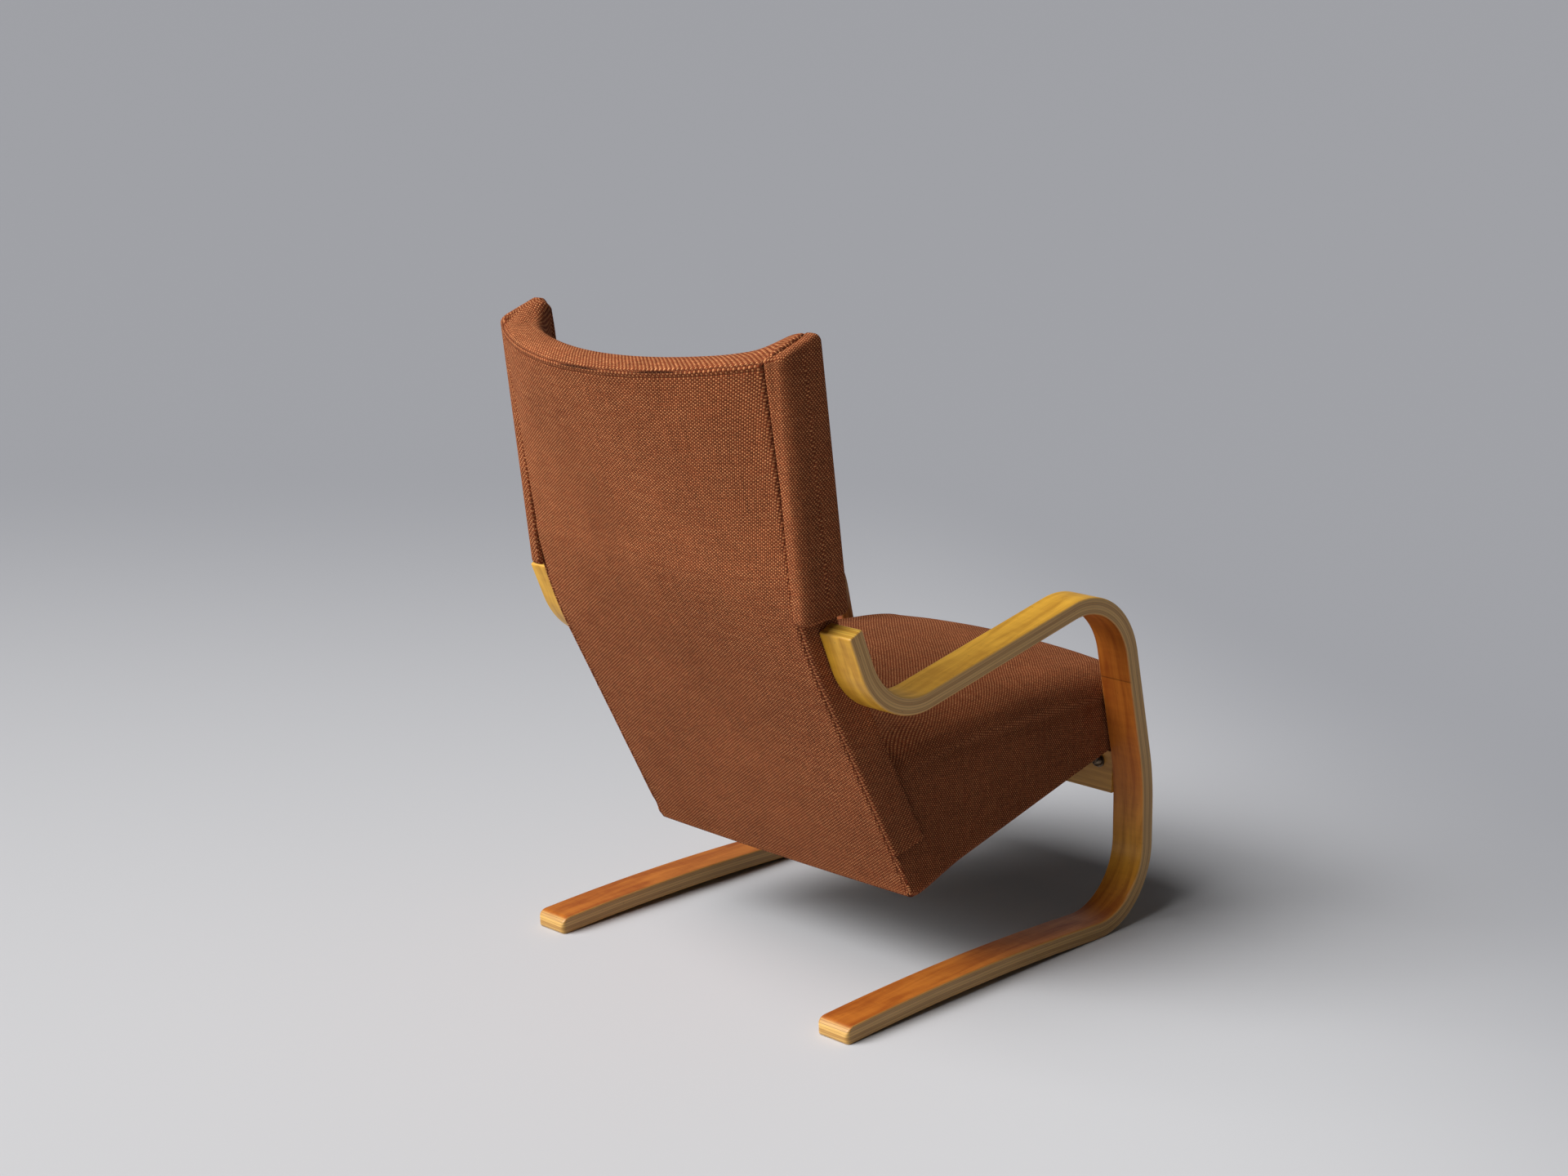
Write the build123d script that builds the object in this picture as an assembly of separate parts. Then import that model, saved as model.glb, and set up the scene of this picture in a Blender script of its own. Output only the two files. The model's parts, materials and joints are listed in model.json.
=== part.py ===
from build123d import *
from math import cos, hypot, radians, sin, tan
import os

os.makedirs("parts", exist_ok=True)

# All sizes in millimetres. X runs across the chair, the sitter faces -Y, Z is up, the floor is Z = 0.

# Bent side frames: one laminated ribbon each, drawn by the corners of its middle line.
overall_width = 604.0
ribbon_width = 54.0
ribbon_thick = 24.0
runner_tip_y = 269.0
runner_slope = 2.9
lower_bend_y = -359.0
lower_bend_radius = 103.0
runner_arch_radius = 4600.0
upright_knee = (-354.5, 212.0)
upright_knee_radius = 380.0
arm_front = (-281.5, 510.0)
arm_front_radius = 112.0
arm_dip = (201.0, 406.0)
arm_dip_radius = 105.0
arm_end = (257.5, 535.0)
tip_round_top = 14.0
tip_round_sole = 5.0
ribbon_ease = 2.5
sole_flat = 0.8

# Back: side line of the outside panel, and how far its middle bows out behind that line.
back_foot = (81.0, 136.0)
back_lean_low = 28.5
back_lean_high = 10.3
back_bend_z = 526.0
back_bend_radius = 500.0
back_seam_clear = 10.0
bow_foot = 4.0
bow_top = 81.5
bow_start_z = 430.0
bow_power = 1.6
bow_over = 17.0
back_top_z = 852.0
back_top_rise = 15.0
shell_over = 48.0
panel_thick = 3.0

# Wooden frame inside the upholstery.
board = 24.0
stile_side_clear = 8.0
stile_rear_gap = 5.0
stile_depth = 35.0
stile_foot = 6.0
rail_height = 66.0
seat_slope = 14.4
seat_skin_gap = 4.0
bottom_rail_foot = 10.0
middle_rail_z = 522.0
middle_rail_height = 56.0
top_rail_drop = 44.0
top_rail_height = 32.0
top_rail_depth = 30.0
block_side = 42.0
block_height = 46.0
block_lift = 8.0

# Wings.
wing_overhang = 14.0
wing_thick = 30.0
wing_board = 17.0
wing_pad = 5.0
wing_foot_rear = (304.0, 542.0)
wing_foot_front = (223.0, 549.0)
wing_rear_up = 28.0
wing_rear_ahead = 7.6
wing_peak_up = 51.0
wing_peak_ahead = 62.5
wing_front_up = 46.0
wing_front_ahead = 74.5
wing_round = 9.0

# Seat.
seat_side_clear = 2.5
shoulder_round = 40.0
shoulder_steps = (0.0, 0.09, 0.29, 0.61, 1.0)
shoulder_fall = 0.7
seat_top = 389.0
seat_front_z = 374.0
seat_rear_z = 362.0
seat_nose_y = -427.5
seat_nose_z = 326.0
nose_y = -384.0
seat_front_foot_z = 254.0
seat_crown = 10.0
border_bulge = 26.0
cover_thick = 2.5
border_depth = 57.0
border_foot_z = 190.0
pad_foot = 104.0
pad_side_step = 2.0
pad_side_taper = 10.0
pad_middle = 70.0
pad_middle_taper = 22.0
lumbar = 12.0
lumbar_z = 400.0
lumbar_reach = 220.0
border_foot_front = (72.0, 214.0)
border_foot_rear = (109.0, 203.0)

# Cross rail between the frames and the front rail of the seat that is bolted to it.
cross_rail_back = -340.0
cross_rail_foot = 182.0
cross_rail_height = 61.0
front_rail_foot = 200.0

# Fixings.
dowel_diameter = 10.0
dowel_length = 50.0
dowel_grip = 28.0
rail_dowel_grip = 30.0
front_dowel_grip = 20.0
rail_dowel_heights = (11.0, 29.0)
bottom_dowel_heights = (22.0, 47.0)
middle_dowel_heights = (14.0, 42.0)
side_dowel_heights = (34.5, 59.5)
front_dowel_heights = (18.0, 49.0)
bolt_diameter = 8.0
bolt_head = 15.0
bolt_head_high = 5.0
washer_diameter = 20.0
washer_thick = 1.6
nut_diameter = 16.0
nut_high = 7.0
seat_bolt_inset = 24.0
seat_bolt_z = 226.0
arm_bolt_points = ((247.0, 504.0), (231.0, 462.0))
arm_bolt_depth = 28.0
screw_diameter = 5.0
screw_head = 9.0
screw_head_high = 3.0
screw_length = 34.0
wing_screw_shares = (0.218, 0.575, 0.932)
strap_width = 50.0
strap_thick = 2.0
seat_strap_side_room = 32.0
seat_strap_count = 5
back_strap_side_room = 72.0
back_strap_width = 32.0
back_strap_count = 4
head_thick = 4.0
head_clear = 3.0
head_lap = 2.0

# Clearances.
hole_gap = 0.3
hole_extra = 1.0
soft_gap = 0.5

frame_outside = overall_width / 2
frame_inside = frame_outside - ribbon_width
back_half = frame_inside - back_seam_clear
stile_outside = frame_inside - stile_side_clear
wing_outside = frame_inside + wing_overhang
wing_inside = wing_outside - wing_thick
seat_half_bulge = frame_inside - seat_side_clear
seat_bolt_x = frame_inside - seat_bolt_inset
top_rail_z = back_top_z - top_rail_drop
far = 2 * overall_width
stile_inside = stile_outside - board
cross_rail_front = cross_rail_back - board
front_rail_front = cross_rail_front - board
border_outside = frame_inside - hole_gap
seat_strap_pitch = 2 * (stile_inside - seat_strap_side_room) / (seat_strap_count - 1)
back_strap_pitch = 2 * (stile_inside - back_strap_side_room) / (back_strap_count - 1)


def unit(a, b):
    """Direction from a to b, length one."""
    size = hypot(b[0] - a[0], b[1] - a[1])
    return ((b[0] - a[0]) / size, (b[1] - a[1]) / size)


def beside(points, distance):
    """Corners of a line drawn at a distance to the left of a line of corners."""
    moved = []
    for i, p in enumerate(points):
        before = unit(points[i - 1], p) if i > 0 else unit(p, points[i + 1])
        after = unit(p, points[i + 1]) if i < len(points) - 1 else before
        share = 1 + before[0] * after[0] + before[1] * after[1]
        moved.append((p[0] - distance * (before[1] + after[1]) / share,
                      p[1] + distance * (before[0] + after[0]) / share))
    return moved


def bent_line(points, radii):
    """Lines and arcs through corners, each inner corner rounded by its radius."""
    edges = []
    start = points[0]
    for p, r, a, b in zip(points[1:-1], radii, points[:-2], points[2:]):
        back = unit(p, a)
        on = unit(p, b)
        half = (back[0] + on[0], back[1] + on[1])
        half_size = hypot(*half)
        half = (half[0] / half_size, half[1] / half_size)
        along = back[0] * half[0] + back[1] * half[1]
        away = (1 - along * along) ** 0.5
        reach = r * along / away
        first = (p[0] + back[0] * reach, p[1] + back[1] * reach)
        last = (p[0] + on[0] * reach, p[1] + on[1] * reach)
        nearest = r / away - r
        middle = (p[0] + half[0] * nearest, p[1] + half[1] * nearest)
        edges.append(Line(start, first))
        edges.append(ThreePointArc(first, middle, last))
        start = last
    edges.append(Line(start, points[-1]))
    return edges


def side_face(edges):
    """Face in the side view (Y to the right, Z up) from its edges."""
    return Plane.YZ * make_face(edges)


def across(face, x_from, x_to):
    """Side-view face carried across the chair between two X values."""
    return extrude(Pos(x_from, 0, 0) * face, x_to - x_from, dir=(1, 0, 0))


def side_block(points, x_from, x_to):
    """Straight-sided block from its corners in the side view."""
    return across(side_face(Polyline(*points, close=True)), x_from, x_to)


def mirrored(shape):
    """The same piece on the other side of the chair."""
    return mirror(shape, about=Plane.YZ)


def rod(start, axis, length, diameter):
    """Round bar from a point along an axis."""
    return extrude(Plane(origin=start, z_dir=axis) * Circle(diameter / 2), length)


def one(shape):
    """The single solid of a shape."""
    return shape.solids().sort_by(SortBy.VOLUME)[-1]


def group(shapes):
    """Separate solids kept together under one name."""
    return Compound(children=[s for shape in shapes for s in shape.solids()])


# Lines of the back and the seat in the side view.
low = tan(radians(back_lean_low))
high = tan(radians(back_lean_high))
back_bend = (back_foot[0] + low * (back_bend_z - back_foot[1]), back_bend_z)
bend_half = radians((back_lean_low - back_lean_high) / 2)
bend_reach = back_bend_radius * tan(bend_half)
bend_first_z = back_bend_z - bend_reach * cos(radians(back_lean_low))
bend_last_z = back_bend_z + bend_reach * cos(radians(back_lean_high))
seat_rise = tan(radians(seat_slope))


def back_line(z):
    """Y of the outside panel at its side seam."""
    if z < bend_first_z:
        return back_foot[0] + low * (z - back_foot[1])
    if z > bend_last_z:
        return back_bend[0] + high * (z - back_bend_z)
    share = (z - bend_first_z) / (bend_last_z - bend_first_z)
    lean = radians(back_lean_low + (back_lean_high - back_lean_low) * share)
    first = back_foot[0] + low * (bend_first_z - back_foot[1])
    return first + (tan(radians(back_lean_low)) + tan(lean)) / 2 * (z - bend_first_z)


def bow(z):
    """How far the middle of the panel stands behind its side seams."""
    share = max(0.0, (z - bow_start_z) / (back_top_z + bow_over - bow_start_z))
    return bow_foot + (bow_top - bow_foot) * share ** bow_power


back_top_y = back_line(back_top_z) + bow(back_top_z)


def seat_foot(y):
    """Height of the lower edge of the seat side."""
    return back_foot[1] + 1.0 + seat_rise * (back_foot[0] - y)


def back_strip(rear_gap, front_gap, z_low, z_high):
    """Side-view face that follows the back line between two gaps measured along Y."""
    heights = [z_low]
    for z in (bend_first_z, (bend_first_z + bend_last_z) / 2, bend_last_z):
        if z_low < z < z_high:
            heights.append(z)
    heights.append(z_high)
    rear = [(back_line(z) - rear_gap, z) for z in heights]
    front = [(back_line(z) - front_gap, z) for z in heights]
    edges = []
    for row in (rear, front):
        i = 0
        while i < len(row) - 1:
            if i + 2 < len(row) and abs(row[i][1] - bend_first_z) < 0.01:
                edges.append(ThreePointArc(row[i], row[i + 1], row[i + 2]))
                i += 2
            else:
                edges.append(Line(row[i], row[i + 1]))
                i += 1
    edges.append(Line(rear[0], front[0]))
    edges.append(Line(rear[-1], front[-1]))
    return side_face(edges)


def shell(heights, half, rear, front):
    """Loft of level sections; rear and front give Y at the side and in the middle for a height."""
    sections = []
    for z in heights:
        rear_side, rear_middle = rear(z)
        front_side, front_middle = front(z)
        outline = [ThreePointArc((-half, rear_side), (0, rear_middle), (half, rear_side)),
                   Line((half, rear_side), (half, front_side)),
                   ThreePointArc((half, front_side), (0, front_middle), (-half, front_side)),
                   Line((-half, front_side), (-half, rear_side))]
        sections.append(Pos(0, 0, z) * make_face(outline))
    return loft(sections, ruled=True)


# Side frames.
runner_drop = tan(radians(runner_slope))
rear_way = unit(upright_knee, (lower_bend_y, 0.0))
on_way = (-rear_way[0], -rear_way[1])
in_way = (cos(radians(runner_slope)), sin(radians(runner_slope)))
half_x = in_way[0] + on_way[0]
half_z = in_way[1] + on_way[1]
half_long = hypot(half_x, half_z)
half_cos = (in_way[0] * half_x + in_way[1] * half_z) / half_long
half_sin = (1 - half_cos ** 2) ** 0.5
lower_bend_reach = half_z / half_long * lower_bend_radius / half_sin
lower_bend_z = lower_bend_radius + ribbon_thick / 2 - lower_bend_reach - sole_flat
tip_z = ribbon_thick / 2 * cos(radians(runner_slope)) - sole_flat
crown_y = (tip_z - lower_bend_z + (runner_tip_y + lower_bend_y) * runner_drop) / (2 * runner_drop)
runner_tip = (runner_tip_y, tip_z)
runner_crown = (crown_y, lower_bend_z + (crown_y - lower_bend_y) * runner_drop)
lower_bend = (lower_bend_y, lower_bend_z)
ribbon_line = [runner_tip, runner_crown, lower_bend, upright_knee, arm_front, arm_dip, arm_end]
ribbon_radii = [runner_arch_radius, lower_bend_radius, upright_knee_radius, arm_front_radius, arm_dip_radius]
ribbon_turns = [1, -1, -1, -1, 1]


def ribbon_side(distance):
    """One face line of the ribbon at a distance to the left of its middle line."""
    radii = [r - turn * distance for r, turn in zip(ribbon_radii, ribbon_turns)]
    return beside(ribbon_line, distance), bent_line(beside(ribbon_line, distance), radii)


sole_points, sole_edges = ribbon_side(ribbon_thick / 2)
top_points, top_edges = ribbon_side(-ribbon_thick / 2)
ribbon_edges = sole_edges + top_edges
ribbon_edges.append(Line(sole_points[0], top_points[0]))
ribbon_edges.append(Line(sole_points[-1], top_points[-1]))
ribbon = one(across(side_face(ribbon_edges), frame_inside, frame_outside))


def edge_at(solid, point):
    """The cross edge of a solid that passes a side-view corner."""
    target = Vector((frame_inside + frame_outside) / 2, *point)
    return [solid.edges().filter_by(Axis.X).sort_by_distance(target)[0]]


ribbon = one(fillet(edge_at(ribbon, top_points[0]), tip_round_top))
ribbon = one(fillet(edge_at(ribbon, sole_points[0]), tip_round_sole))
for corner in (top_points[-1], sole_points[-1]):
    ribbon = one(fillet(edge_at(ribbon, corner), ribbon_ease))
flat_sides = ribbon.faces().filter_by(Axis.X)
ribbon = one(fillet([e for face in flat_sides for e in face.outer_wire().edges()], ribbon_ease))
below_floor = Pos(0, 0, -far / 2) * Box(far, far, far)
ribbon = one(ribbon - below_floor)

# Dowels: cross rail into the frames, then the joints of the hidden frame.
rail_dowels = []
for up in rail_dowel_heights:
    y = cross_rail_back - board / 2
    rail_dowels.append(((frame_inside - rail_dowel_grip, y, cross_rail_foot + up), (1, 0, 0)))
dowel_gap = stile_rear_gap + board / 2
frame_dowels = []
level_dowels = [back_foot[1] + up for up in bottom_dowel_heights]
level_dowels += [middle_rail_z + up for up in middle_dowel_heights]
for z in level_dowels:
    frame_dowels.append(((stile_inside - dowel_grip, back_line(z) - dowel_gap, z), (1, 0, 0)))
z = top_rail_z + top_rail_height / 2
rail_turn = 2 * bow(z) * stile_inside / back_half ** 2
turn_size = hypot(1, rail_turn)
rail_way = (1 / turn_size, -rail_turn / turn_size, 0)
joint = (stile_inside, back_line(z) - dowel_gap + top_rail_depth / 10, z)
frame_dowels.append((tuple(j - dowel_grip * w for j, w in zip(joint, rail_way)), rail_way))
stile_front_gap = stile_rear_gap + stile_depth
for up in side_dowel_heights:
    z = back_foot[1] + up
    y = back_line(z) - stile_front_gap
    frame_dowels.append(((stile_outside - board / 2, y - dowel_length / 2, z), (0, 1, 0)))
for up in front_dowel_heights:
    z = seat_foot(cross_rail_front) + seat_skin_gap + up
    frame_dowels.append(((stile_outside - board / 2, cross_rail_front - front_dowel_grip, z), (0, 1, 0)))


def pegs(places, diameter, extra):
    """Dowels or their holes on one side of the chair."""
    made = []
    for start, axis in places:
        begin = tuple(s - extra * a for s, a in zip(start, axis))
        made.append(rod(begin, axis, dowel_length + 2 * extra, diameter))
    return made


def both(shapes):
    """Shapes of one side together with their mirror images."""
    return list(shapes) + [mirrored(s) for s in shapes]


dowel_hole = dowel_diameter + 2 * hole_gap
rail_holes = both(pegs(rail_dowels, dowel_hole, hole_extra))
frame_holes = both(pegs(frame_dowels, dowel_hole, hole_extra))
bolt_hole = bolt_diameter + 2 * hole_gap


def bolt(head_seat, way, length):
    """Round-headed bolt; the head sits on a washer at its seat and the shank runs the given way."""
    back = tuple(-w for w in way)
    lifted = tuple(s + washer_thick * b for s, b in zip(head_seat, back))
    shank = rod(lifted, way, washer_thick + length, bolt_diameter)
    head = rod(lifted, back, bolt_head_high, bolt_head)
    crown = head.edges().sort_by(lambda e: -e.center().dot(Vector(*back)))[:1]
    return one(shank + fillet(crown, bolt_head_high * 0.8))


def washer(head_seat, way):
    """Washer under the head of a bolt."""
    back = tuple(-w for w in way)
    disc = rod(head_seat, back, washer_thick, washer_diameter)
    return one(disc - rod(head_seat, back, washer_thick, bolt_hole))


# Bolts through the cross rail into the front rail of the seat.
seat_bolt_seat = (seat_bolt_x, cross_rail_back, seat_bolt_z)
seat_bolt_run = cross_rail_back - front_rail_front - 1.0
seat_bolts = both([bolt(seat_bolt_seat, (0, -1, 0), seat_bolt_run)])
seat_washers = both([washer(seat_bolt_seat, (0, -1, 0))])
seat_bolt_holes = both([rod(seat_bolt_seat, (0, -1, 0), 2 * board, bolt_hole)])
nut_seat = (seat_bolt_x, front_rail_front, seat_bolt_z)
seat_nut = rod(nut_seat, (0, 1, 0), nut_high, nut_diameter) - rod(nut_seat, (0, 1, 0), nut_high, bolt_hole)
seat_nuts = both([one(seat_nut)])
nut_holes = both([rod(nut_seat, (0, 1, 0), nut_high, nut_diameter + 2 * hole_gap)])

# Bolts through the back stiles into the arm ends.
arm_bolts = []
arm_washers = []
arm_holes = []
for y, z in arm_bolt_points:
    seat = (stile_inside, y, z)
    run = frame_inside - stile_inside + arm_bolt_depth
    arm_bolts.append(bolt(seat, (1, 0, 0), run))
    arm_washers.append(washer(seat, (1, 0, 0)))
    arm_holes.append(rod(seat, (1, 0, 0), run + hole_extra, bolt_hole))
arm_bolts = both(arm_bolts)
arm_washers = both(arm_washers)
arm_holes = both(arm_holes)

side_frame_left = one(ribbon - rail_holes - arm_holes)
side_frame_right = mirrored(side_frame_left)
cross_rail = side_block([(cross_rail_front, cross_rail_foot), (cross_rail_back, cross_rail_foot),
                         (cross_rail_back, cross_rail_foot + cross_rail_height),
                         (cross_rail_front, cross_rail_foot + cross_rail_height)],
                        -frame_inside, frame_inside)
cross_rail = one(cross_rail - rail_holes - seat_bolt_holes)


def web_line(y):
    """Height of the plane on which the seat straps lie."""
    return seat_foot(y) + seat_skin_gap + rail_height


def meets_web(gap):
    """Point where a line at a gap in front of the lower back meets the strap plane."""
    y_level = back_foot[0] - low * back_foot[1] - gap
    z = (web_line(0) - seat_rise * y_level) / (1 + seat_rise * low)
    return (y_level + low * z, z)


# Seat frame.
front_rail = side_block([(front_rail_front, front_rail_foot), (cross_rail_front, front_rail_foot),
                         (cross_rail_front, web_line(cross_rail_front)),
                         (front_rail_front, web_line(front_rail_front))],
                        -stile_outside + 4 * soft_gap, stile_outside - 4 * soft_gap)
seat_front_rail = one(front_rail - frame_holes - seat_bolt_holes - nut_holes)
foot_y = back_line(back_foot[1] + bottom_rail_foot) - stile_front_gap
side_rail = side_block([(cross_rail_front, seat_foot(cross_rail_front) + seat_skin_gap),
                        (foot_y, seat_foot(foot_y) + seat_skin_gap),
                        meets_web(stile_front_gap),
                        (cross_rail_front, web_line(cross_rail_front))], stile_inside, stile_outside)
side_rail -= across(back_strip(-rail_height, stile_front_gap, back_foot[1] - rail_height, seat_top), 0, far)
seat_side_rail_left = one(side_rail - frame_holes)
seat_side_rail_right = mirrored(seat_side_rail_left)
rail_rear_gap = stile_rear_gap
rail_front_gap = stile_rear_gap + board
bottom_z = back_foot[1] + bottom_rail_foot
bottom_rail = side_block([(back_line(bottom_z) - rail_rear_gap, bottom_z),
                          (back_line(bottom_z) - rail_front_gap, bottom_z),
                          meets_web(rail_front_gap), meets_web(rail_rear_gap)], -stile_inside, stile_inside)
back_bottom_rail = one(bottom_rail - frame_holes)
block_z = seat_foot(cross_rail_front) + seat_skin_gap + block_lift
block_plan = Polyline((stile_inside, cross_rail_front), (stile_inside, cross_rail_front + block_side),
                      (stile_inside - block_side, cross_rail_front), close=True)
corner_block = one(Pos(0, 0, block_z) * extrude(make_face(block_plan), block_height))
seat_corner_blocks = both([one(corner_block - frame_holes)])

# Back frame.
stile_top = top_rail_z + top_rail_height
stile_strip = back_strip(stile_rear_gap, stile_front_gap, back_foot[1] + stile_foot, stile_top)
stile = one(across(stile_strip, stile_inside, stile_outside))
wing_screws = []
wing_screw_holes = []
for share in wing_screw_shares:
    z = wing_foot_rear[1] + share * (top_rail_z - wing_foot_rear[1])
    y = back_line(z) - stile_rear_gap - stile_depth / 2
    start = (stile_outside + wing_board, y, z)
    in_x = (-1, 0, 0)
    wing_screws.append(one(rod(start, in_x, screw_length, screw_diameter)
                           + rod(start, in_x, screw_head_high, screw_head)))
    wing_screw_holes.append(one(rod(start, in_x, screw_length + hole_extra, screw_diameter + 2 * hole_gap)
                                + rod(start, in_x, screw_head_high, screw_head + 2 * hole_gap)))
wing_screws = both(wing_screws)
wing_screw_holes = both(wing_screw_holes)
back_stile_left = one(stile - frame_holes - arm_holes - wing_screw_holes)
back_stile_right = mirrored(back_stile_left)
middle_strip = back_strip(rail_rear_gap, rail_front_gap, middle_rail_z, middle_rail_z + middle_rail_height)
middle_rail = across(middle_strip, -stile_inside, stile_inside)
back_middle_rail = one(middle_rail - frame_holes)


def panel_at(gap, half):
    """Rear or front line at a gap in front of the outside panel, for a shell of a half width."""
    share = 1 - (half / back_half) ** 2
    return lambda z: (back_line(z) + bow(z) * share - gap, back_line(z) + bow(z) - gap)


top_rail_gap = stile_rear_gap + top_rail_depth
top_rail_half = stile_inside - hole_gap
top_rail = shell([top_rail_z, top_rail_z + top_rail_height / 2, top_rail_z + top_rail_height], top_rail_half,
                 panel_at(stile_rear_gap, top_rail_half), panel_at(top_rail_gap, top_rail_half))
back_top_rail = one(top_rail - frame_holes)

# Straps.
straps = []
for i in range(seat_strap_count):
    x = (i - (seat_strap_count - 1) / 2) * seat_strap_pitch
    ends = (front_rail_front + 2, meets_web(rail_rear_gap)[0] - 4)
    path = [(y, web_line(y)) for y in ends]
    top = [(y, z + strap_thick) for y, z in path]
    straps.append(side_block(path + top[::-1], x - strap_width / 2 + 2, x + strap_width / 2 - 2))
seat_webbing = straps
back_straps = []
for i in range(back_strap_count):
    x = (i - (back_strap_count - 1) / 2) * back_strap_pitch
    half = back_strap_width / 2
    lower = back_strip(rail_front_gap + 1, rail_front_gap + 1 + strap_thick, bottom_z + 8, middle_rail_z + 26)
    back_straps.append(across(lower, x - half, x + half))
head_half = stile_inside - head_clear
head_low = middle_rail_z + middle_rail_height + head_lap
head_rise = top_rail_z + top_rail_height - head_lap - head_low
head_heights = [head_low + head_rise * i / 6 for i in range(7)]
head_panel = one(shell(head_heights, head_half, panel_at(top_rail_gap + hole_gap, head_half),
                       panel_at(top_rail_gap + hole_gap + head_thick, head_half)))


# Upholstery of the back.
def above_top(lift):
    """Everything above the slanting top of the back."""
    rise = tan(radians(back_top_rise))
    front = (back_top_y - far, back_top_z + lift + rise * far)
    rear = (back_top_y + far, back_top_z + lift - rise * far)
    return side_block([front, rear, (rear[0], front[1])], -far, far)


bend_heights = [bend_first_z + (bend_last_z - bend_first_z) * i / 4 for i in range(5)]
high_rise = back_top_z + shell_over - bend_last_z
high_heights = [bend_last_z + high_rise * i / 6 for i in range(1, 7)]
panel_heights = [back_foot[1], (back_foot[1] + bend_first_z) / 2, *bend_heights, *high_heights]
panel = shell(panel_heights, back_half, panel_at(0, back_half), panel_at(panel_thick, back_half))
outside_back_panel = one(panel - above_top(0))
border_front_gap = stile_front_gap + soft_gap
border_half = wing_inside - soft_gap
top_low = top_rail_z + top_rail_height + soft_gap
border_rise = back_top_z + shell_over - top_low
border_heights = [top_low + border_rise * i / 3 for i in range(4)]
border = shell(border_heights, border_half, panel_at(panel_thick + soft_gap, border_half),
               panel_at(border_front_gap, border_half))
top_border = one(border - above_top(0))


def pad_front(extra):
    """Front line of the inside back pad: thicker in the small of the back."""
    def line(z):
        up = min(1.0, max(0.0, (z - bow_start_z) / (back_top_z - bow_start_z)))
        side_gap = border_depth - pad_side_step - pad_side_taper * up
        small = max(0.0, 1 - abs(z - lumbar_z) / lumbar_reach)
        middle_gap = pad_middle - pad_middle_taper * up + lumbar * small
        return (back_line(z) - side_gap - extra, back_line(z) + bow(z) - middle_gap - extra)
    return line


def pad_rear(z):
    """Rear line of the inside back pad: straight in front of the straps, bowed in front of the head panel."""
    rise = min(1.0, max(0.0, (z - middle_rail_z - middle_rail_height) / middle_rail_height))
    out = max(bow_foot / 2, bow(z) - board / 2 * (1 - rise))
    gap = stile_front_gap + 2 * soft_gap
    return (back_line(z) - gap, back_line(z) + out - gap)


pad_half = wing_inside - soft_gap
pad_low = back_foot[1] + pad_foot
pad_heights = [pad_low, (pad_low + lumbar_z) / 2, lumbar_z, *bend_heights, *high_heights]
pad = shell(pad_heights, pad_half, pad_rear, pad_front(0))
pad_room = across(back_strip(-stile_depth, stile_front_gap + soft_gap, back_foot[1], back_top_z + shell_over),
                  stile_inside - board / 2, far)
inside_back_pad = one(pad - above_top(0) - pad_room - mirrored(pad_room))
ahead = 2 * border_depth
foot_cut = side_block([(border_foot_front[0] - ahead, border_foot_front[1] + ahead * low), border_foot_front,
                       border_foot_rear, (border_foot_rear[0] + ahead, border_foot_rear[1] - ahead * low),
                       (border_foot_rear[0] + ahead, 0), (border_foot_front[0] - ahead, 0)], 0, far)
border_strip = back_strip(soft_gap, border_depth, border_foot_z, wing_foot_rear[1] - 3 * soft_gap)
side_border = across(border_strip, stile_outside + hole_gap, border_outside)
side_border_left = one(side_border - foot_cut - arm_holes)
side_border_right = mirrored(side_border_left)

# Wings.
wing_rear_z = back_top_z + wing_rear_up
wing_top_rear = (back_line(wing_rear_z) - wing_rear_ahead, wing_rear_z)
wing_top_peak = (wing_top_rear[0] - wing_peak_ahead, back_top_z + wing_peak_up)
wing_top_front = (wing_top_rear[0] - wing_front_ahead, back_top_z + wing_front_up)
wing_corners = [wing_foot_rear, wing_foot_front, wing_top_front, wing_top_peak, wing_top_rear]
wing_face = make_face(Polyline(*wing_corners, close=True))
wing_face = fillet(wing_face.vertices(), wing_round)
wing_form = one(across(Plane.YZ * wing_face, wing_inside, wing_outside))
outer_loop = wing_form.faces().sort_by(Axis.X)[-1].outer_wire().edges()
inner_loop = wing_form.faces().sort_by(Axis.X)[0].outer_wire().edges()
wing_form = one(fillet(list(outer_loop) + list(inner_loop), wing_round - 1))
board_face = offset(wing_face, -wing_pad)
board_solid = one(across(Plane.YZ * board_face, stile_outside, stile_outside + wing_board))
wing_board_left = one(board_solid - wing_screw_holes)
wing_board_right = mirrored(wing_board_left)
board_room = across(Plane.YZ * offset(wing_face, hole_gap - wing_pad), stile_outside - hole_gap,
                    stile_outside + wing_board + hole_gap)
room_strip = back_strip(-stile_depth, border_front_gap + soft_gap, bow_start_z, back_top_z + far)
stile_room = across(room_strip, 0, stile_outside + hole_gap)
wing_cover_left = one(wing_form - board_room - stile_room)
wing_cover_right = mirrored(wing_cover_left)


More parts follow.
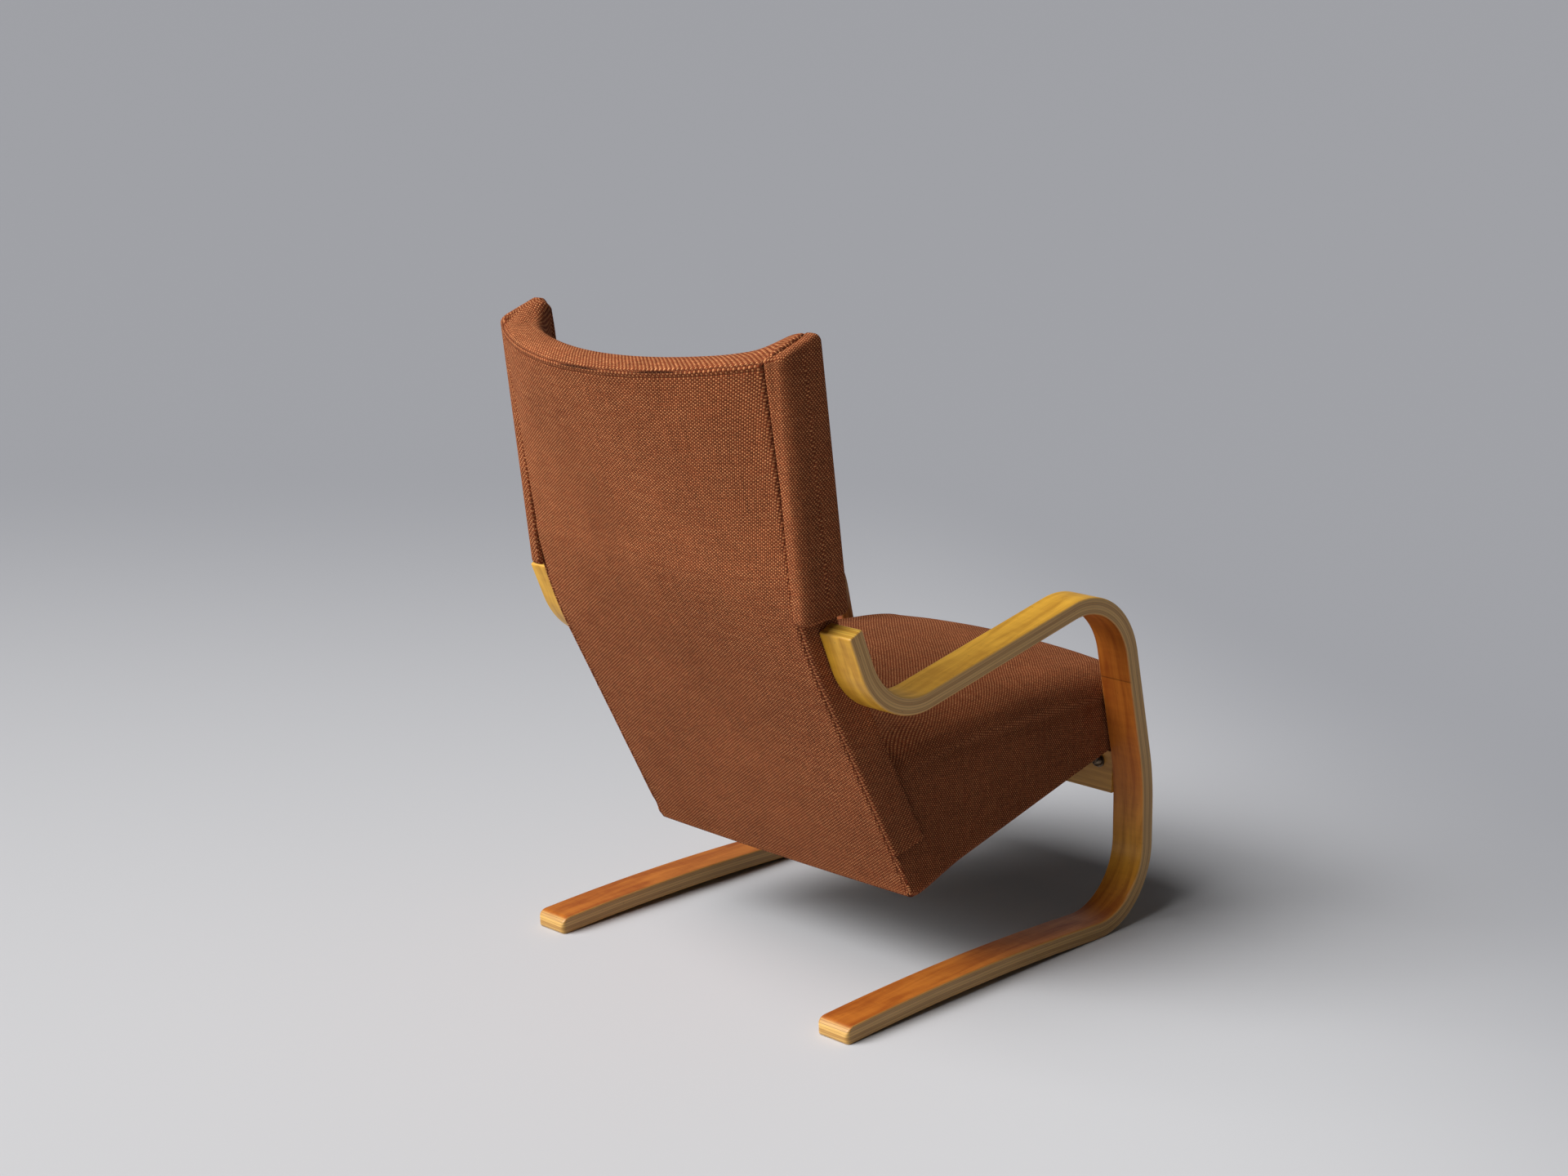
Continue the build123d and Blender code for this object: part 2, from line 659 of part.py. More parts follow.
# Upholstery of the seat: sections from one side to the other.
def seat_section(x):
    """Fore-and-aft section of the seat cushion at a distance from the middle."""
    off = abs(x)
    drop = seat_crown * (off / seat_half_bulge) ** 2
    flat_half = seat_half_bulge - shoulder_round
    if off > flat_half:
        drop += (shoulder_round - (shoulder_round ** 2 - (off - flat_half) ** 2) ** 0.5) * shoulder_fall
    middle_share = 1 - (off / seat_half_bulge) ** 2
    rear_gap = border_depth + soft_gap + (border_bulge + 2 * soft_gap) * middle_share
    rear_low_z = meets_web(rear_gap)[1] + strap_thick + 1.0
    rear_top_z = seat_rear_z - drop
    rear_low = (back_line(rear_low_z) - rear_gap, rear_low_z)
    rear_top = (back_line(rear_top_z) - rear_gap, rear_top_z)
    front_y = front_rail_front - soft_gap
    nose_foot = (front_y, seat_front_foot_z + 0.2 * drop)
    nose = (seat_nose_y + 0.5 * drop, seat_nose_z - 0.2 * drop)
    front_top = (nose_y, seat_front_z - 0.9 * drop)
    top = ((nose_y + rear_top[0]) / 2 - 30, seat_top - drop)
    step = (front_y, web_line(front_y) + strap_thick + 0.5)
    outline = [Line(rear_low, step),
               Line(step, nose_foot),
               ThreePointArc(nose_foot, nose, front_top),
               ThreePointArc(front_top, top, rear_top),
               Line(rear_top, rear_low)]
    return Pos(x, 0, 0) * side_face(outline)


seat_half_stations = [seat_half_bulge - shoulder_round * s for s in shoulder_steps]
seat_half_stations.append(seat_half_bulge * 0.45)
seat_stations = [-x for x in seat_half_stations] + [0.0] + seat_half_stations[::-1]
seat_cushion = one(loft([seat_section(x) for x in seat_stations], ruled=True))
panel_gap = panel_thick + soft_gap
panel_low = (back_line(back_foot[1] + 1) - panel_gap, back_foot[1] + 1)
panel_high = (back_line(border_foot_rear[1] - 3) - panel_gap, border_foot_rear[1] - 3)
panel_top_y = border_foot_front[0] - 4
panel_over = 3 * soft_gap
panel_side = side_block([(front_rail_front, seat_foot(front_rail_front)), panel_low, panel_high,
                         (panel_top_y, web_line(panel_top_y) + panel_over),
                         (front_rail_front, web_line(front_rail_front) + panel_over)],
                        stile_outside + soft_gap, stile_outside + soft_gap + cover_thick)
seat_side_panel_left = one(panel_side)
seat_side_panel_right = mirrored(seat_side_panel_left)
seat_apron = one(side_block([(front_rail_front - soft_gap - cover_thick, front_rail_foot - 1),
                             (front_rail_front - soft_gap, front_rail_foot - 1),
                             (front_rail_front - soft_gap, seat_front_foot_z - 2 * soft_gap),
                             (front_rail_front - soft_gap - cover_thick, seat_front_foot_z - 2 * soft_gap)],
                            -stile_outside, stile_outside))
cloth_ends = (cross_rail_back + 3, back_line(bottom_z) - stile_front_gap - 4)
cloth_low = [(y, seat_foot(y) + seat_skin_gap - 2.0) for y in cloth_ends]
cloth_high = [(y, seat_foot(y) + seat_skin_gap - 0.5) for y in cloth_ends]
underside_cloth = one(side_block(cloth_low + cloth_high[::-1], -stile_outside + 2, stile_outside - 2))

pieces = {
    "side_frame_left": side_frame_left,
    "side_frame_right": side_frame_right,
    "cross_rail": cross_rail,
    "rail_dowels": group(both(pegs(rail_dowels, dowel_diameter, 0))),
    "seat_bolts": group(seat_bolts),
    "seat_bolt_washers": group(seat_washers),
    "seat_bolt_nuts": group(seat_nuts),
    "seat_front_rail": seat_front_rail,
    "seat_side_rail_left": seat_side_rail_left,
    "seat_side_rail_right": seat_side_rail_right,
    "seat_corner_blocks": group(seat_corner_blocks),
    "seat_webbing": group(seat_webbing),
    "seat_cushion": seat_cushion,
    "seat_side_panel_left": seat_side_panel_left,
    "seat_side_panel_right": seat_side_panel_right,
    "seat_apron": seat_apron,
    "underside_cloth": underside_cloth,
    "back_bottom_rail": back_bottom_rail,
    "back_middle_rail": back_middle_rail,
    "back_top_rail": back_top_rail,
    "back_stile_left": back_stile_left,
    "back_stile_right": back_stile_right,
    "frame_dowels": group(both(pegs(frame_dowels, dowel_diameter, 0))),
    "arm_bolts": group(arm_bolts),
    "arm_bolt_washers": group(arm_washers),
    "back_webbing": group(back_straps),
    "head_panel": head_panel,
    "inside_back_pad": inside_back_pad,
    "outside_back_panel": outside_back_panel,
    "top_border": top_border,
    "side_border_left": side_border_left,
    "side_border_right": side_border_right,
    "wing_board_left": wing_board_left,
    "wing_board_right": wing_board_right,
    "wing_screws": group(wing_screws),
    "wing_cover_left": wing_cover_left,
    "wing_cover_right": wing_cover_right,
}
for name, shape in pieces.items():
    export_step(shape, f"parts/{name}.step")
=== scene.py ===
import json
import math

import bmesh
import bpy
from bpy.props import FloatProperty, FloatVectorProperty, IntProperty, PointerProperty
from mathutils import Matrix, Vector, noise


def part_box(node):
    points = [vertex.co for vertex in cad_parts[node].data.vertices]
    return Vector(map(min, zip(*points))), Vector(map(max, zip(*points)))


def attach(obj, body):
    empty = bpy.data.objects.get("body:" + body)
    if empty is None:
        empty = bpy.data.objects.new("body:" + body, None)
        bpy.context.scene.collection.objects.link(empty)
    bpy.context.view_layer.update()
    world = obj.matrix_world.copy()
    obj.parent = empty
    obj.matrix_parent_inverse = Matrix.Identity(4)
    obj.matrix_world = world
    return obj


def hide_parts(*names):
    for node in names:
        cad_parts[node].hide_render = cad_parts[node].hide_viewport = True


bl_info = {
    "name": "High back armchair",
    "version": (1, 0, 0),
    "blender": (4, 5, 0),
    "location": "3D View > Sidebar > Armchair",
    "description": "Bent birch armchair with a winged high back, upholstered in rust wool",
    "category": "Object",
}

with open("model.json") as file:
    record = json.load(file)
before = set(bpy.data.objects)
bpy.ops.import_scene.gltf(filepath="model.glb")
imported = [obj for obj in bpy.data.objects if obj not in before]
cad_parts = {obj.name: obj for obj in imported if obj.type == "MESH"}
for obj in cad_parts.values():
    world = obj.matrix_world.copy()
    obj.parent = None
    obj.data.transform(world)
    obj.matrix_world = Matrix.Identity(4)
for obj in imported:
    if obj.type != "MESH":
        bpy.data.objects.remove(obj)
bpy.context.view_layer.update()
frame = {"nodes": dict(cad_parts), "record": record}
MM = 0.001
SIDES = ((1, "left"), (-1, "right"))
WOOL = "wool_hopsack"

# Lines shared by the pieces, in millimetres: X across, the sitter faces -Y, Z up. A pair is (y, z).
RIBBON_CORNERS = [(269.0, 11.185), (8.815, 24.365), (-359.0, 5.732), (-354.5, 212.0), (-281.5, 510.0),
                  (201.0, 406.0), (257.5, 535.0)]
RIBBON_RADII = [4600.0, 103.0, 380.0, 112.0, 105.0]
FRAME_INSIDE = 248.0
BACK_HALF = 238.0
BACK_FOOT = (81.0, 136.0)
LOW_DEGREES = 28.5
HIGH_DEGREES = 10.3
LOW_LEAN = math.tan(math.radians(LOW_DEGREES))
HIGH_LEAN = math.tan(math.radians(HIGH_DEGREES))
BEND_Z = 526.0
BEND_FIRST_Z = 455.6
BEND_LAST_Z = 604.8
BOW_FOOT = 4.0
BOW_TOP = 81.5
BOW_START_Z = 430.0
BOW_END_Z = 869.0
TOP_Z = 852.0
TOP_Y = 428.7
TOP_RISE = math.tan(math.radians(15.0))
WING_FRONT = ((223.0, 549.0), (275.0, 898.0))
WING_REAR = ((304.0, 542.0), (349.5, 880.0))
WING_TOP = [WING_FRONT[1], (281.0, 902.0), (288.0, 902.8), WING_REAR[1]]
WING_INSIDE = 232.0
WING_SEAM = 247.0
WING_OUTSIDE = 262.0
BORDER_HEAD_Z = 556.0
BORDER_FOOT_Z = 201.0
BORDER_FOOT_FALL = 0.258
BORDER_DEEP = 57.0
SEAT_SLOPE = math.radians(14.4)
SEAT_RISE = math.tan(SEAT_SLOPE)
SEAT_FRONT_Y = -390.0
# Place of the top seam on the flat cloth, for the pieces on both sides of it.
CLOTH_TOP = 905.0


def mix(a, b, share):
    """The value at a share of the way from one to another."""
    return a + (b - a) * share


def smooth(low, high, value):
    """Zero at low, one at high, an even S between; low may be the larger of the two."""
    share = min(1.0, max(0.0, (value - low) / (high - low)))
    return share * share * (3 - 2 * share)


def hump(distance, reach):
    """One at no distance, fading evenly on both sides."""
    return math.exp(-(distance / reach) ** 2)


def spread(low, high, count):
    """Evenly spaced values, both ends included."""
    return [mix(low, high, i / (count - 1)) for i in range(count)]


def back_line(z):
    """Y of the back's side seam at a height."""
    if z < BEND_FIRST_Z:
        return BACK_FOOT[0] + LOW_LEAN * (z - BACK_FOOT[1])
    if z > BEND_LAST_Z:
        return BACK_FOOT[0] + LOW_LEAN * (BEND_Z - BACK_FOOT[1]) + HIGH_LEAN * (z - BEND_Z)
    share = (z - BEND_FIRST_Z) / (BEND_LAST_Z - BEND_FIRST_Z)
    lean = math.tan(math.radians(mix(LOW_DEGREES, HIGH_DEGREES, share)))
    first = BACK_FOOT[0] + LOW_LEAN * (BEND_FIRST_Z - BACK_FOOT[1])
    return first + (LOW_LEAN + lean) / 2 * (z - BEND_FIRST_Z)


def bow(z):
    """How far the middle of the back stands behind its side seams."""
    share = max(0.0, (z - BOW_START_Z) / (BOW_END_Z - BOW_START_Z))
    return BOW_FOOT + (BOW_TOP - BOW_FOOT) * share ** 1.6


def rear_face(x, z):
    """Y of the outside of the back."""
    return back_line(z) + bow(z) * (1 - (x / BACK_HALF) ** 2)


def top_plane(y):
    """Height of the slanting top of the back."""
    return TOP_Z + TOP_RISE * (TOP_Y - y)


def top_seam(x):
    """Height at which the outside of the back meets the slanting top."""
    z = TOP_Z
    for _ in range(12):
        z = top_plane(rear_face(x, z))
    return z


def seat_foot(y):
    """Height of the lower edge of the seat side."""
    return BACK_FOOT[1] + 1.0 + SEAT_RISE * (BACK_FOOT[0] - y)


def border_foot(deep):
    """Height of a border strip's slanting foot at a depth from the back's side seam."""
    return BORDER_FOOT_Z - BORDER_FOOT_FALL * deep


def wing_edges(z):
    """Y of the front and rear edges of a wing at a height."""
    z = min(z, WING_FRONT[1][1])
    return [mix(foot[0], head[0], (z - foot[1]) / (head[1] - foot[1]))
            for foot, head in (WING_FRONT, WING_REAR)]


def wing_top(y):
    """Height of the top edge of a wing."""
    for a, b in zip(WING_TOP, WING_TOP[1:]):
        if y <= b[0]:
            return mix(a[1], b[1], (y - a[0]) / (b[0] - a[0]))
    return WING_TOP[-1][1]


def direction(a, b):
    """Unit direction from one (y, z) point to another."""
    size = math.hypot(b[0] - a[0], b[1] - a[1])
    return ((b[0] - a[0]) / size, (b[1] - a[1]) / size)


def rounded_path(corners, radii, step):
    """Points along straight runs joined by arcs, as (y, z), close enough together for a smooth bend."""
    path = [corners[0]]
    for before, p, after, radius in zip(corners, corners[1:], corners[2:], radii):
        back = direction(p, before)
        on = direction(p, after)
        half = (back[0] + on[0], back[1] + on[1])
        size = math.hypot(*half)
        half = (half[0] / size, half[1] / size)
        along = back[0] * half[0] + back[1] * half[1]
        away = math.sqrt(max(1e-9, 1 - along * along))
        reach = radius * along / away
        centre = (p[0] + half[0] * radius / away, p[1] + half[1] * radius / away)
        first = (p[0] + back[0] * reach, p[1] + back[1] * reach)
        last = (p[0] + on[0] * reach, p[1] + on[1] * reach)
        start = math.atan2(first[1] - centre[1], first[0] - centre[0])
        turn = math.atan2(last[1] - centre[1], last[0] - centre[0]) - start
        turn = (turn + math.pi) % (2 * math.pi) - math.pi
        parts = max(4, int(abs(turn) * radius / step))
        for k in range(parts + 1):
            a = start + turn * k / parts
            path.append((centre[0] + radius * math.cos(a), centre[1] + radius * math.sin(a)))
    return path + [corners[-1]]


def run_lengths(points):
    """Length of a line up to each of its points."""
    lengths = [0.0]
    for a, b in zip(points, points[1:]):
        lengths.append(lengths[-1] + math.dist(a, b))
    return lengths


def even_path(path, step):
    """The same line again with points at an even spacing, and its length."""
    lengths = run_lengths(path)
    total = lengths[-1]
    count = max(2, round(total / step))
    made = []
    k = 0
    for i in range(count + 1):
        want = total * i / count
        while k < len(lengths) - 2 and lengths[k + 1] < want:
            k += 1
        share = (want - lengths[k]) / max(1e-9, lengths[k + 1] - lengths[k])
        made.append(tuple(mix(a, b, share) for a, b in zip(path[k], path[k + 1])))
    return made, total


def on_side(rows, side):
    """Rows of points on the chair's left as they are, or mirrored to its right."""
    return [[(side * x, y, z) for x, y, z in row] for row in rows]


def sheet_mesh(name, rows, cloth=None, ring=False, caps=False, marks=None):
    """Object from rows of points; cloth gives each point's place on the flat cloth, both in millimetres."""
    across = len(rows[0])
    points = [Vector(p) * MM for row in rows for p in row]
    faces = []
    corners = []
    for i in range(len(rows) - 1):
        for j in range(across if ring else across - 1):
            k = (j + 1) % across
            faces.append((i * across + j, i * across + k, (i + 1) * across + k, (i + 1) * across + j))
            corners.append(((i, j), (i, j + 1), (i + 1, j + 1), (i + 1, j)))
    if caps:
        last = len(rows) - 1
        faces.append(tuple(range(across))[::-1])
        corners.append([(0, j) for j in range(across)][::-1])
        faces.append(tuple(last * across + j for j in range(across)))
        corners.append([(last, j) for j in range(across)])
    mesh = bpy.data.meshes.new(name)
    mesh.from_pydata(points, [], faces)
    if cloth:
        layer = mesh.uv_layers.new(name="cloth")
        for loop, (i, j) in zip(layer.data, [corner for face in corners for corner in face]):
            loop.uv = (cloth[i][j][0] * MM, cloth[i][j][1] * MM)
    for key, values in (marks or {}).items():
        flat = [v for row in values for v in row]
        if isinstance(flat[0], tuple):
            layer = mesh.attributes.new(key, "FLOAT_VECTOR", "POINT")
            layer.data.foreach_set("vector", [c for v in flat for c in v])
        else:
            layer = mesh.attributes.new(key, "FLOAT", "POINT")
            layer.data.foreach_set("value", flat)
    mesh.validate()
    mesh.shade_smooth()
    made = bpy.data.objects.new(name, mesh)
    bpy.context.scene.collection.objects.link(made)
    return made


def outward(obj):
    """Turns the faces of a closed piece outwards."""
    work = bmesh.new()
    work.from_mesh(obj.data)
    bmesh.ops.recalc_face_normals(work, faces=work.faces)
    work.to_mesh(obj.data)
    work.free()


def thicken(obj, thick):
    """Gives an open sheet its thickness, towards its inside."""
    made = obj.modifiers.new("cloth thickness", "SOLIDIFY")
    made.thickness = thick * MM
    made.offset = -1
    made.use_even_offset = False


def settle(obj, material, replaced=()):
    """Gives a finished piece its material and body, and hides the nodes that it stands for."""
    obj.data.materials.clear()
    obj.data.materials.append(material)
    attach(obj, "root")
    if replaced:
        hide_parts(*replaced)
    return obj


def cover(context, name, rows, cloth, replaced, painted_shades=None, thick=None):
    """Wool cover: an open sheet of a given thickness, or without one a closed pad."""
    closed = thick is None
    made = sheet_mesh(name, rows, cloth, ring=closed, caps=closed, marks=painted_shades and {"seam": painted_shades})
    if closed:
        outward(made)
    else:
        thicken(made, thick)
    wool = bpy.data.materials.get(WOOL) or wool_weave(context.scene.armchair_cover)
    return settle(made, wool, replaced)


# Places of the two colour inputs and of the colour output among a Mix node's sockets.
FIRST = 6
SECOND = 7
MIXED = 2


def linear(code):
    """Linear colour of an sRGB hex value."""
    parts = [int(code[i:i + 2], 16) / 255 for i in (1, 3, 5)]
    return (*[c / 12.92 if c <= 0.04045 else ((c + 0.055) / 1.055) ** 2.4 for c in parts], 1.0)


def per(size):
    """Scale that repeats a pattern at a size in millimetres, where the place is in metres."""
    return 1 / (size * MM)


def plug(tree, node, inputs):
    """Fills a node's inputs; each takes a value, a socket, or a node for its first output."""
    for key, value in inputs.items():
        if isinstance(value, bpy.types.Node):
            value = value.outputs[0]
        if isinstance(value, bpy.types.NodeSocket):
            tree.links.new(value, node.inputs[key])
        else:
            node.inputs[key].default_value = value


def add(tree, kind, inputs=None, **settings):
    """Adds a node with its settings and fills its inputs."""
    made = tree.nodes.new(kind)
    for key, value in settings.items():
        setattr(made, key, value)
    plug(tree, made, inputs or {})
    return made


def new_material(name):
    """Empty node material with its surface shader; returns material, tree and shader."""
    material = bpy.data.materials.get(name)
    if material:
        bpy.data.materials.remove(material)
    material = bpy.data.materials.new(name)
    material.use_nodes = True
    tree = material.node_tree
    return material, tree, tree.nodes["Principled BSDF"]


def wool_weave(settings):
    """Wool hopsack of thick hairy yarn: matt, with light dots in staggered rows and dark gaps between."""
    material, tree, shader = new_material(WOOL)
    place = add(tree, "ShaderNodeUVMap", uv_map="cloth")
    solid = add(tree, "ShaderNodeTexCoord").outputs["Object"]
    # The seam mark is painted shade laid on the cloth pieces: none at 0, full at 1.
    seam = add(tree, "ShaderNodeAttribute", attribute_name="seam").outputs["Fac"]
    # The real yarns lie about 1.9 mm apart, too fine to show, so they are drawn up to half as coarse again.
    # They wander by under a millimetre, so that the rows are never ruled lines.
    waver = add(tree, "ShaderNodeTexNoise", {"Vector": solid, "Scale": per(16.0), "Detail": 2.0})
    wander = (1.4 * MM, 1.4 * MM, 0.0)
    shift = add(tree, "ShaderNodeVectorMath", {0: waver.outputs["Color"], 1: wander, 2: place},
                operation="MULTIPLY_ADD")
    counts = add(tree, "ShaderNodeVectorMath",
                 {0: shift, 1: (settings.yarn_across, settings.yarn_up, 1.0)}, operation="DIVIDE")
    parts = add(tree, "ShaderNodeSeparateXYZ", {0: counts})
    row = parts.outputs["Y"]
    lean = add(tree, "ShaderNodeMath", {0: row, 1: 0.14, 2: parts.outputs["X"]}, operation="MULTIPLY_ADD")
    turn_x = add(tree, "ShaderNodeMath", {0: lean, 1: math.pi}, operation="MULTIPLY")
    turn_y = add(tree, "ShaderNodeMath", {0: row, 1: math.pi}, operation="MULTIPLY")
    warp = add(tree, "ShaderNodeMath", {0: turn_x}, operation="SINE")
    weft = add(tree, "ShaderNodeMath", {0: turn_y}, operation="SINE")
    cell = add(tree, "ShaderNodeMath", {0: warp, 1: weft}, operation="MULTIPLY")
    over = add(tree, "ShaderNodeMapRange", {"Value": cell, "From Min": -0.1, "From Max": 0.7},
               interpolation_type="SMOOTHSTEP")
    lift = add(tree, "ShaderNodeMath", {0: cell}, operation="ABSOLUTE")
    # Both yarns change tone along their length, every few centimetres and from one yarn to the next but one.
    warp_yarn = add(tree, "ShaderNodeMapping", {"Vector": shift, "Scale": (per(4.2), per(70.0), 1.0)})
    warp_tone = add(tree, "ShaderNodeTexNoise", {"Vector": warp_yarn, "Scale": 1.0, "Detail": 2.0},
                    noise_dimensions="2D")
    weft_yarn = add(tree, "ShaderNodeMapping", {"Vector": shift, "Scale": (per(50.0), per(4.2), 1.0)})
    weft_tone = add(tree, "ShaderNodeTexNoise", {"Vector": weft_yarn, "Scale": 1.0, "Detail": 2.0},
                    noise_dimensions="2D")
    ground = add(tree, "ShaderNodeMix",
                 {"Factor": warp_tone, FIRST: settings.warp_dark, SECOND: settings.warp_mid},
                 data_type="RGBA")
    light = add(tree, "ShaderNodeMix",
                {"Factor": weft_tone, FIRST: settings.weft_mid, SECOND: settings.weft_light},
                data_type="RGBA")
    woven = add(tree, "ShaderNodeMix",
                {"Factor": over, FIRST: ground.outputs[MIXED], SECOND: light.outputs[MIXED]},
                data_type="RGBA")
    gap = add(tree, "ShaderNodeMapRange", {"Value": lift, "From Max": 0.45, "To Min": 0.45, "To Max": 1.06})
    # Each float of yarn takes the dye a little differently.
    leant = add(tree, "ShaderNodeCombineXYZ", {"X": lean, "Y": row})
    step = add(tree, "ShaderNodeVectorMath", {0: leant}, operation="FLOOR")
    dye = add(tree, "ShaderNodeTexWhiteNoise", {"Vector": step}, noise_dimensions="2D")
    speck = add(tree, "ShaderNodeMapRange", {"Value": dye.outputs["Value"], "To Min": 0.8, "To Max": 1.22})
    patch = add(tree, "ShaderNodeTexNoise", {"Vector": solid, "Scale": per(110.0), "Detail": 3.0})
    fade = add(tree, "ShaderNodeMapRange",
               {"Value": patch, "From Min": 0.3, "From Max": 0.7, "To Min": 0.9, "To Max": 1.08})
    # Painted shade: the seam mark darkens the cloth, down to about a fifth, in sewn grooves, folds, tucks
    # and gaps, and over the seat.
    painted_seam_shade = add(tree, "ShaderNodeMapRange", {"Value": seam, "To Min": 1.0, "To Max": 0.22})
    # Painted light: the cloth is made lighter with height, standing in for the stronger light on the top of
    # the back.
    height = add(tree, "ShaderNodeSeparateXYZ", {0: solid}).outputs["Z"]
    painted_top_light = add(tree, "ShaderNodeMapRange",
                 {"Value": height, "From Min": 0.14, "From Max": 0.9, "To Min": 0.9, "To Max": 1.15})
    tone = gap
    for part in (fade, speck, painted_seam_shade, painted_top_light):
        tone = add(tree, "ShaderNodeMath", {0: tone, 1: part}, operation="MULTIPLY")
    colour = add(tree, "ShaderNodeVectorMath", {0: woven.outputs[MIXED], "Scale": tone}, operation="SCALE")
    fuzz = add(tree, "ShaderNodeTexNoise", {"Vector": solid, "Scale": per(1.1), "Detail": 2.0})
    relief = add(tree, "ShaderNodeMath", {0: fuzz, 1: 0.35, 2: lift}, operation="MULTIPLY_ADD")
    bump = add(tree, "ShaderNodeBump", {"Strength": 0.6, "Distance": settings.yarn_relief, "Height": relief})
    plug(tree, shader, {"Base Color": colour, "Normal": bump, "Roughness": 0.92, "Specular IOR Level": 0.12,
                        "Sheen Weight": 0.05, "Sheen Roughness": 0.5, "Sheen Tint": linear("#C9824E")})
    return material


def birch_laminate(settings):
    """Bent birch veneers glued in layers under amber lacquer: fine grain, striped edges and a warm gloss."""
    material, tree, shader = new_material("laminated_birch_lacquered")
    # The grain mark is the place in millimetres along, across and through the ribbon.
    grain = add(tree, "ShaderNodeAttribute", attribute_name="grain").outputs["Vector"]
    edge, inner, cut, splice = [add(tree, "ShaderNodeAttribute", attribute_name=key).outputs["Fac"]
                                for key in ("edge", "inner", "cut", "splice")]
    # Face veneer: long fine pores, a broad flame figure and a ripple across them.
    pore_place = add(tree, "ShaderNodeMapping", {"Vector": grain, "Scale": (1 / 55, 1 / 0.9, 1 / 3)})
    pores = add(tree, "ShaderNodeTexNoise",
                {"Vector": pore_place, "Scale": 1.0, "Detail": 4.0, "Roughness": 0.6})
    flame_place = add(tree, "ShaderNodeMapping", {"Vector": grain, "Scale": (1 / 130, 1 / 16, 1 / 9)})
    flame = add(tree, "ShaderNodeTexNoise",
                {"Vector": flame_place, "Scale": 1.0, "Detail": 3.0, "Distortion": 0.8})
    ripple_place = add(tree, "ShaderNodeMapping", {"Vector": grain, "Scale": (1 / 9, 1 / 40, 1 / 9)})
    ripple = add(tree, "ShaderNodeTexNoise", {"Vector": ripple_place, "Scale": 1.0, "Detail": 2.0})
    figure = add(tree, "ShaderNodeMath", {0: pores, 1: 0.45, 2: flame}, operation="MULTIPLY_ADD")
    figure = add(tree, "ShaderNodeMath", {0: ripple, 1: 0.22, 2: figure}, operation="MULTIPLY_ADD")
    share = add(tree, "ShaderNodeMapRange", {"Value": figure, "From Min": 0.5, "From Max": 1.15},
                interpolation_type="SMOOTHSTEP")
    outer_face = add(tree, "ShaderNodeMix",
                     {"Factor": share, FIRST: settings.outer_dark, SECOND: settings.outer_light},
                     data_type="RGBA")
    inner_face = add(tree, "ShaderNodeMix",
                     {"Factor": share, FIRST: settings.inner_dark, SECOND: settings.inner_light},
                     data_type="RGBA")
    face = add(tree, "ShaderNodeMix",
               {"Factor": inner, FIRST: outer_face.outputs[MIXED], SECOND: inner_face.outputs[MIXED]},
               data_type="RGBA")
    # One veneer ends on the upright: a fine dark line and a browner piece above it. The runner's top is made
    # darker as well.
    worn = add(tree, "ShaderNodeMapRange", {"Value": splice, "To Min": 1.0, "To Max": 0.4})
    face = add(tree, "ShaderNodeVectorMath", {0: face.outputs[MIXED], "Scale": worn}, operation="SCALE")
    # Edges: one stripe for each veneer, each with a tone of its own, and a dark glue line between. A real
    # glue line is about 0.1 mm, and is drawn 0.7 mm wide so that it shows.
    depth = add(tree, "ShaderNodeSeparateXYZ", {0: grain}).outputs["Z"]
    veneer_thick = in_mm(settings.ribbon_thick) / settings.veneers
    layer = add(tree, "ShaderNodeMath", {0: depth, 1: veneer_thick}, operation="DIVIDE")
    index = add(tree, "ShaderNodeMath", {0: layer}, operation="FLOOR")
    random = add(tree, "ShaderNodeTexWhiteNoise", {"W": index}, noise_dimensions="1D")
    streak_place = add(tree, "ShaderNodeMapping", {"Vector": grain, "Scale": (1 / 80, 1 / 30, 1 / 0.8)})
    streaks = add(tree, "ShaderNodeTexNoise", {"Vector": streak_place, "Scale": 1.0, "Detail": 3.0})
    stripe = add(tree, "ShaderNodeMath", {0: random.outputs["Value"], 1: 0.42, 2: streaks},
                 operation="MULTIPLY_ADD")
    stripe = add(tree, "ShaderNodeMapRange", {"Value": stripe, "From Min": 0.25, "From Max": 1.05})
    side = add(tree, "ShaderNodeMix",
               {"Factor": stripe, FIRST: settings.edge_dark, SECOND: settings.edge_light}, data_type="RGBA")
    ends = add(tree, "ShaderNodeMix",
               {"Factor": stripe, FIRST: settings.cut_dark, SECOND: settings.cut_light}, data_type="RGBA")
    side = add(tree, "ShaderNodeMix",
               {"Factor": cut, FIRST: side.outputs[MIXED], SECOND: ends.outputs[MIXED]}, data_type="RGBA")
    away = add(tree, "ShaderNodeMath", {0: layer, 1: 0.5}, operation="PINGPONG")
    glue = add(tree, "ShaderNodeMapRange",
               {"Value": away, "From Min": 0.03, "From Max": 0.16, "To Min": 0.66, "To Max": 1.0})
    side = add(tree, "ShaderNodeVectorMath", {0: side.outputs[MIXED], "Scale": glue}, operation="SCALE")
    wood = add(tree, "ShaderNodeMix", {"Factor": edge, FIRST: face.outputs[0], SECOND: side.outputs[0]},
               data_type="RGBA")
    # Rubbed arrises: a pale amber line where the lacquer is worn thin.
    near = add(tree, "ShaderNodeMath", {0: edge, 1: 0.5}, operation="PINGPONG")
    patchy = add(tree, "ShaderNodeTexNoise", {"Vector": grain, "Scale": 1 / 26, "Detail": 2.0})
    rub = add(tree, "ShaderNodeMath", {0: near, 1: patchy}, operation="MULTIPLY")
    rub = add(tree, "ShaderNodeMapRange", {"Value": rub, "From Min": 0.1, "From Max": 0.34, "To Max": 0.6})
    wood = add(tree, "ShaderNodeMix",
               {"Factor": rub, FIRST: wood.outputs[MIXED], SECOND: settings.worn_edge}, data_type="RGBA")
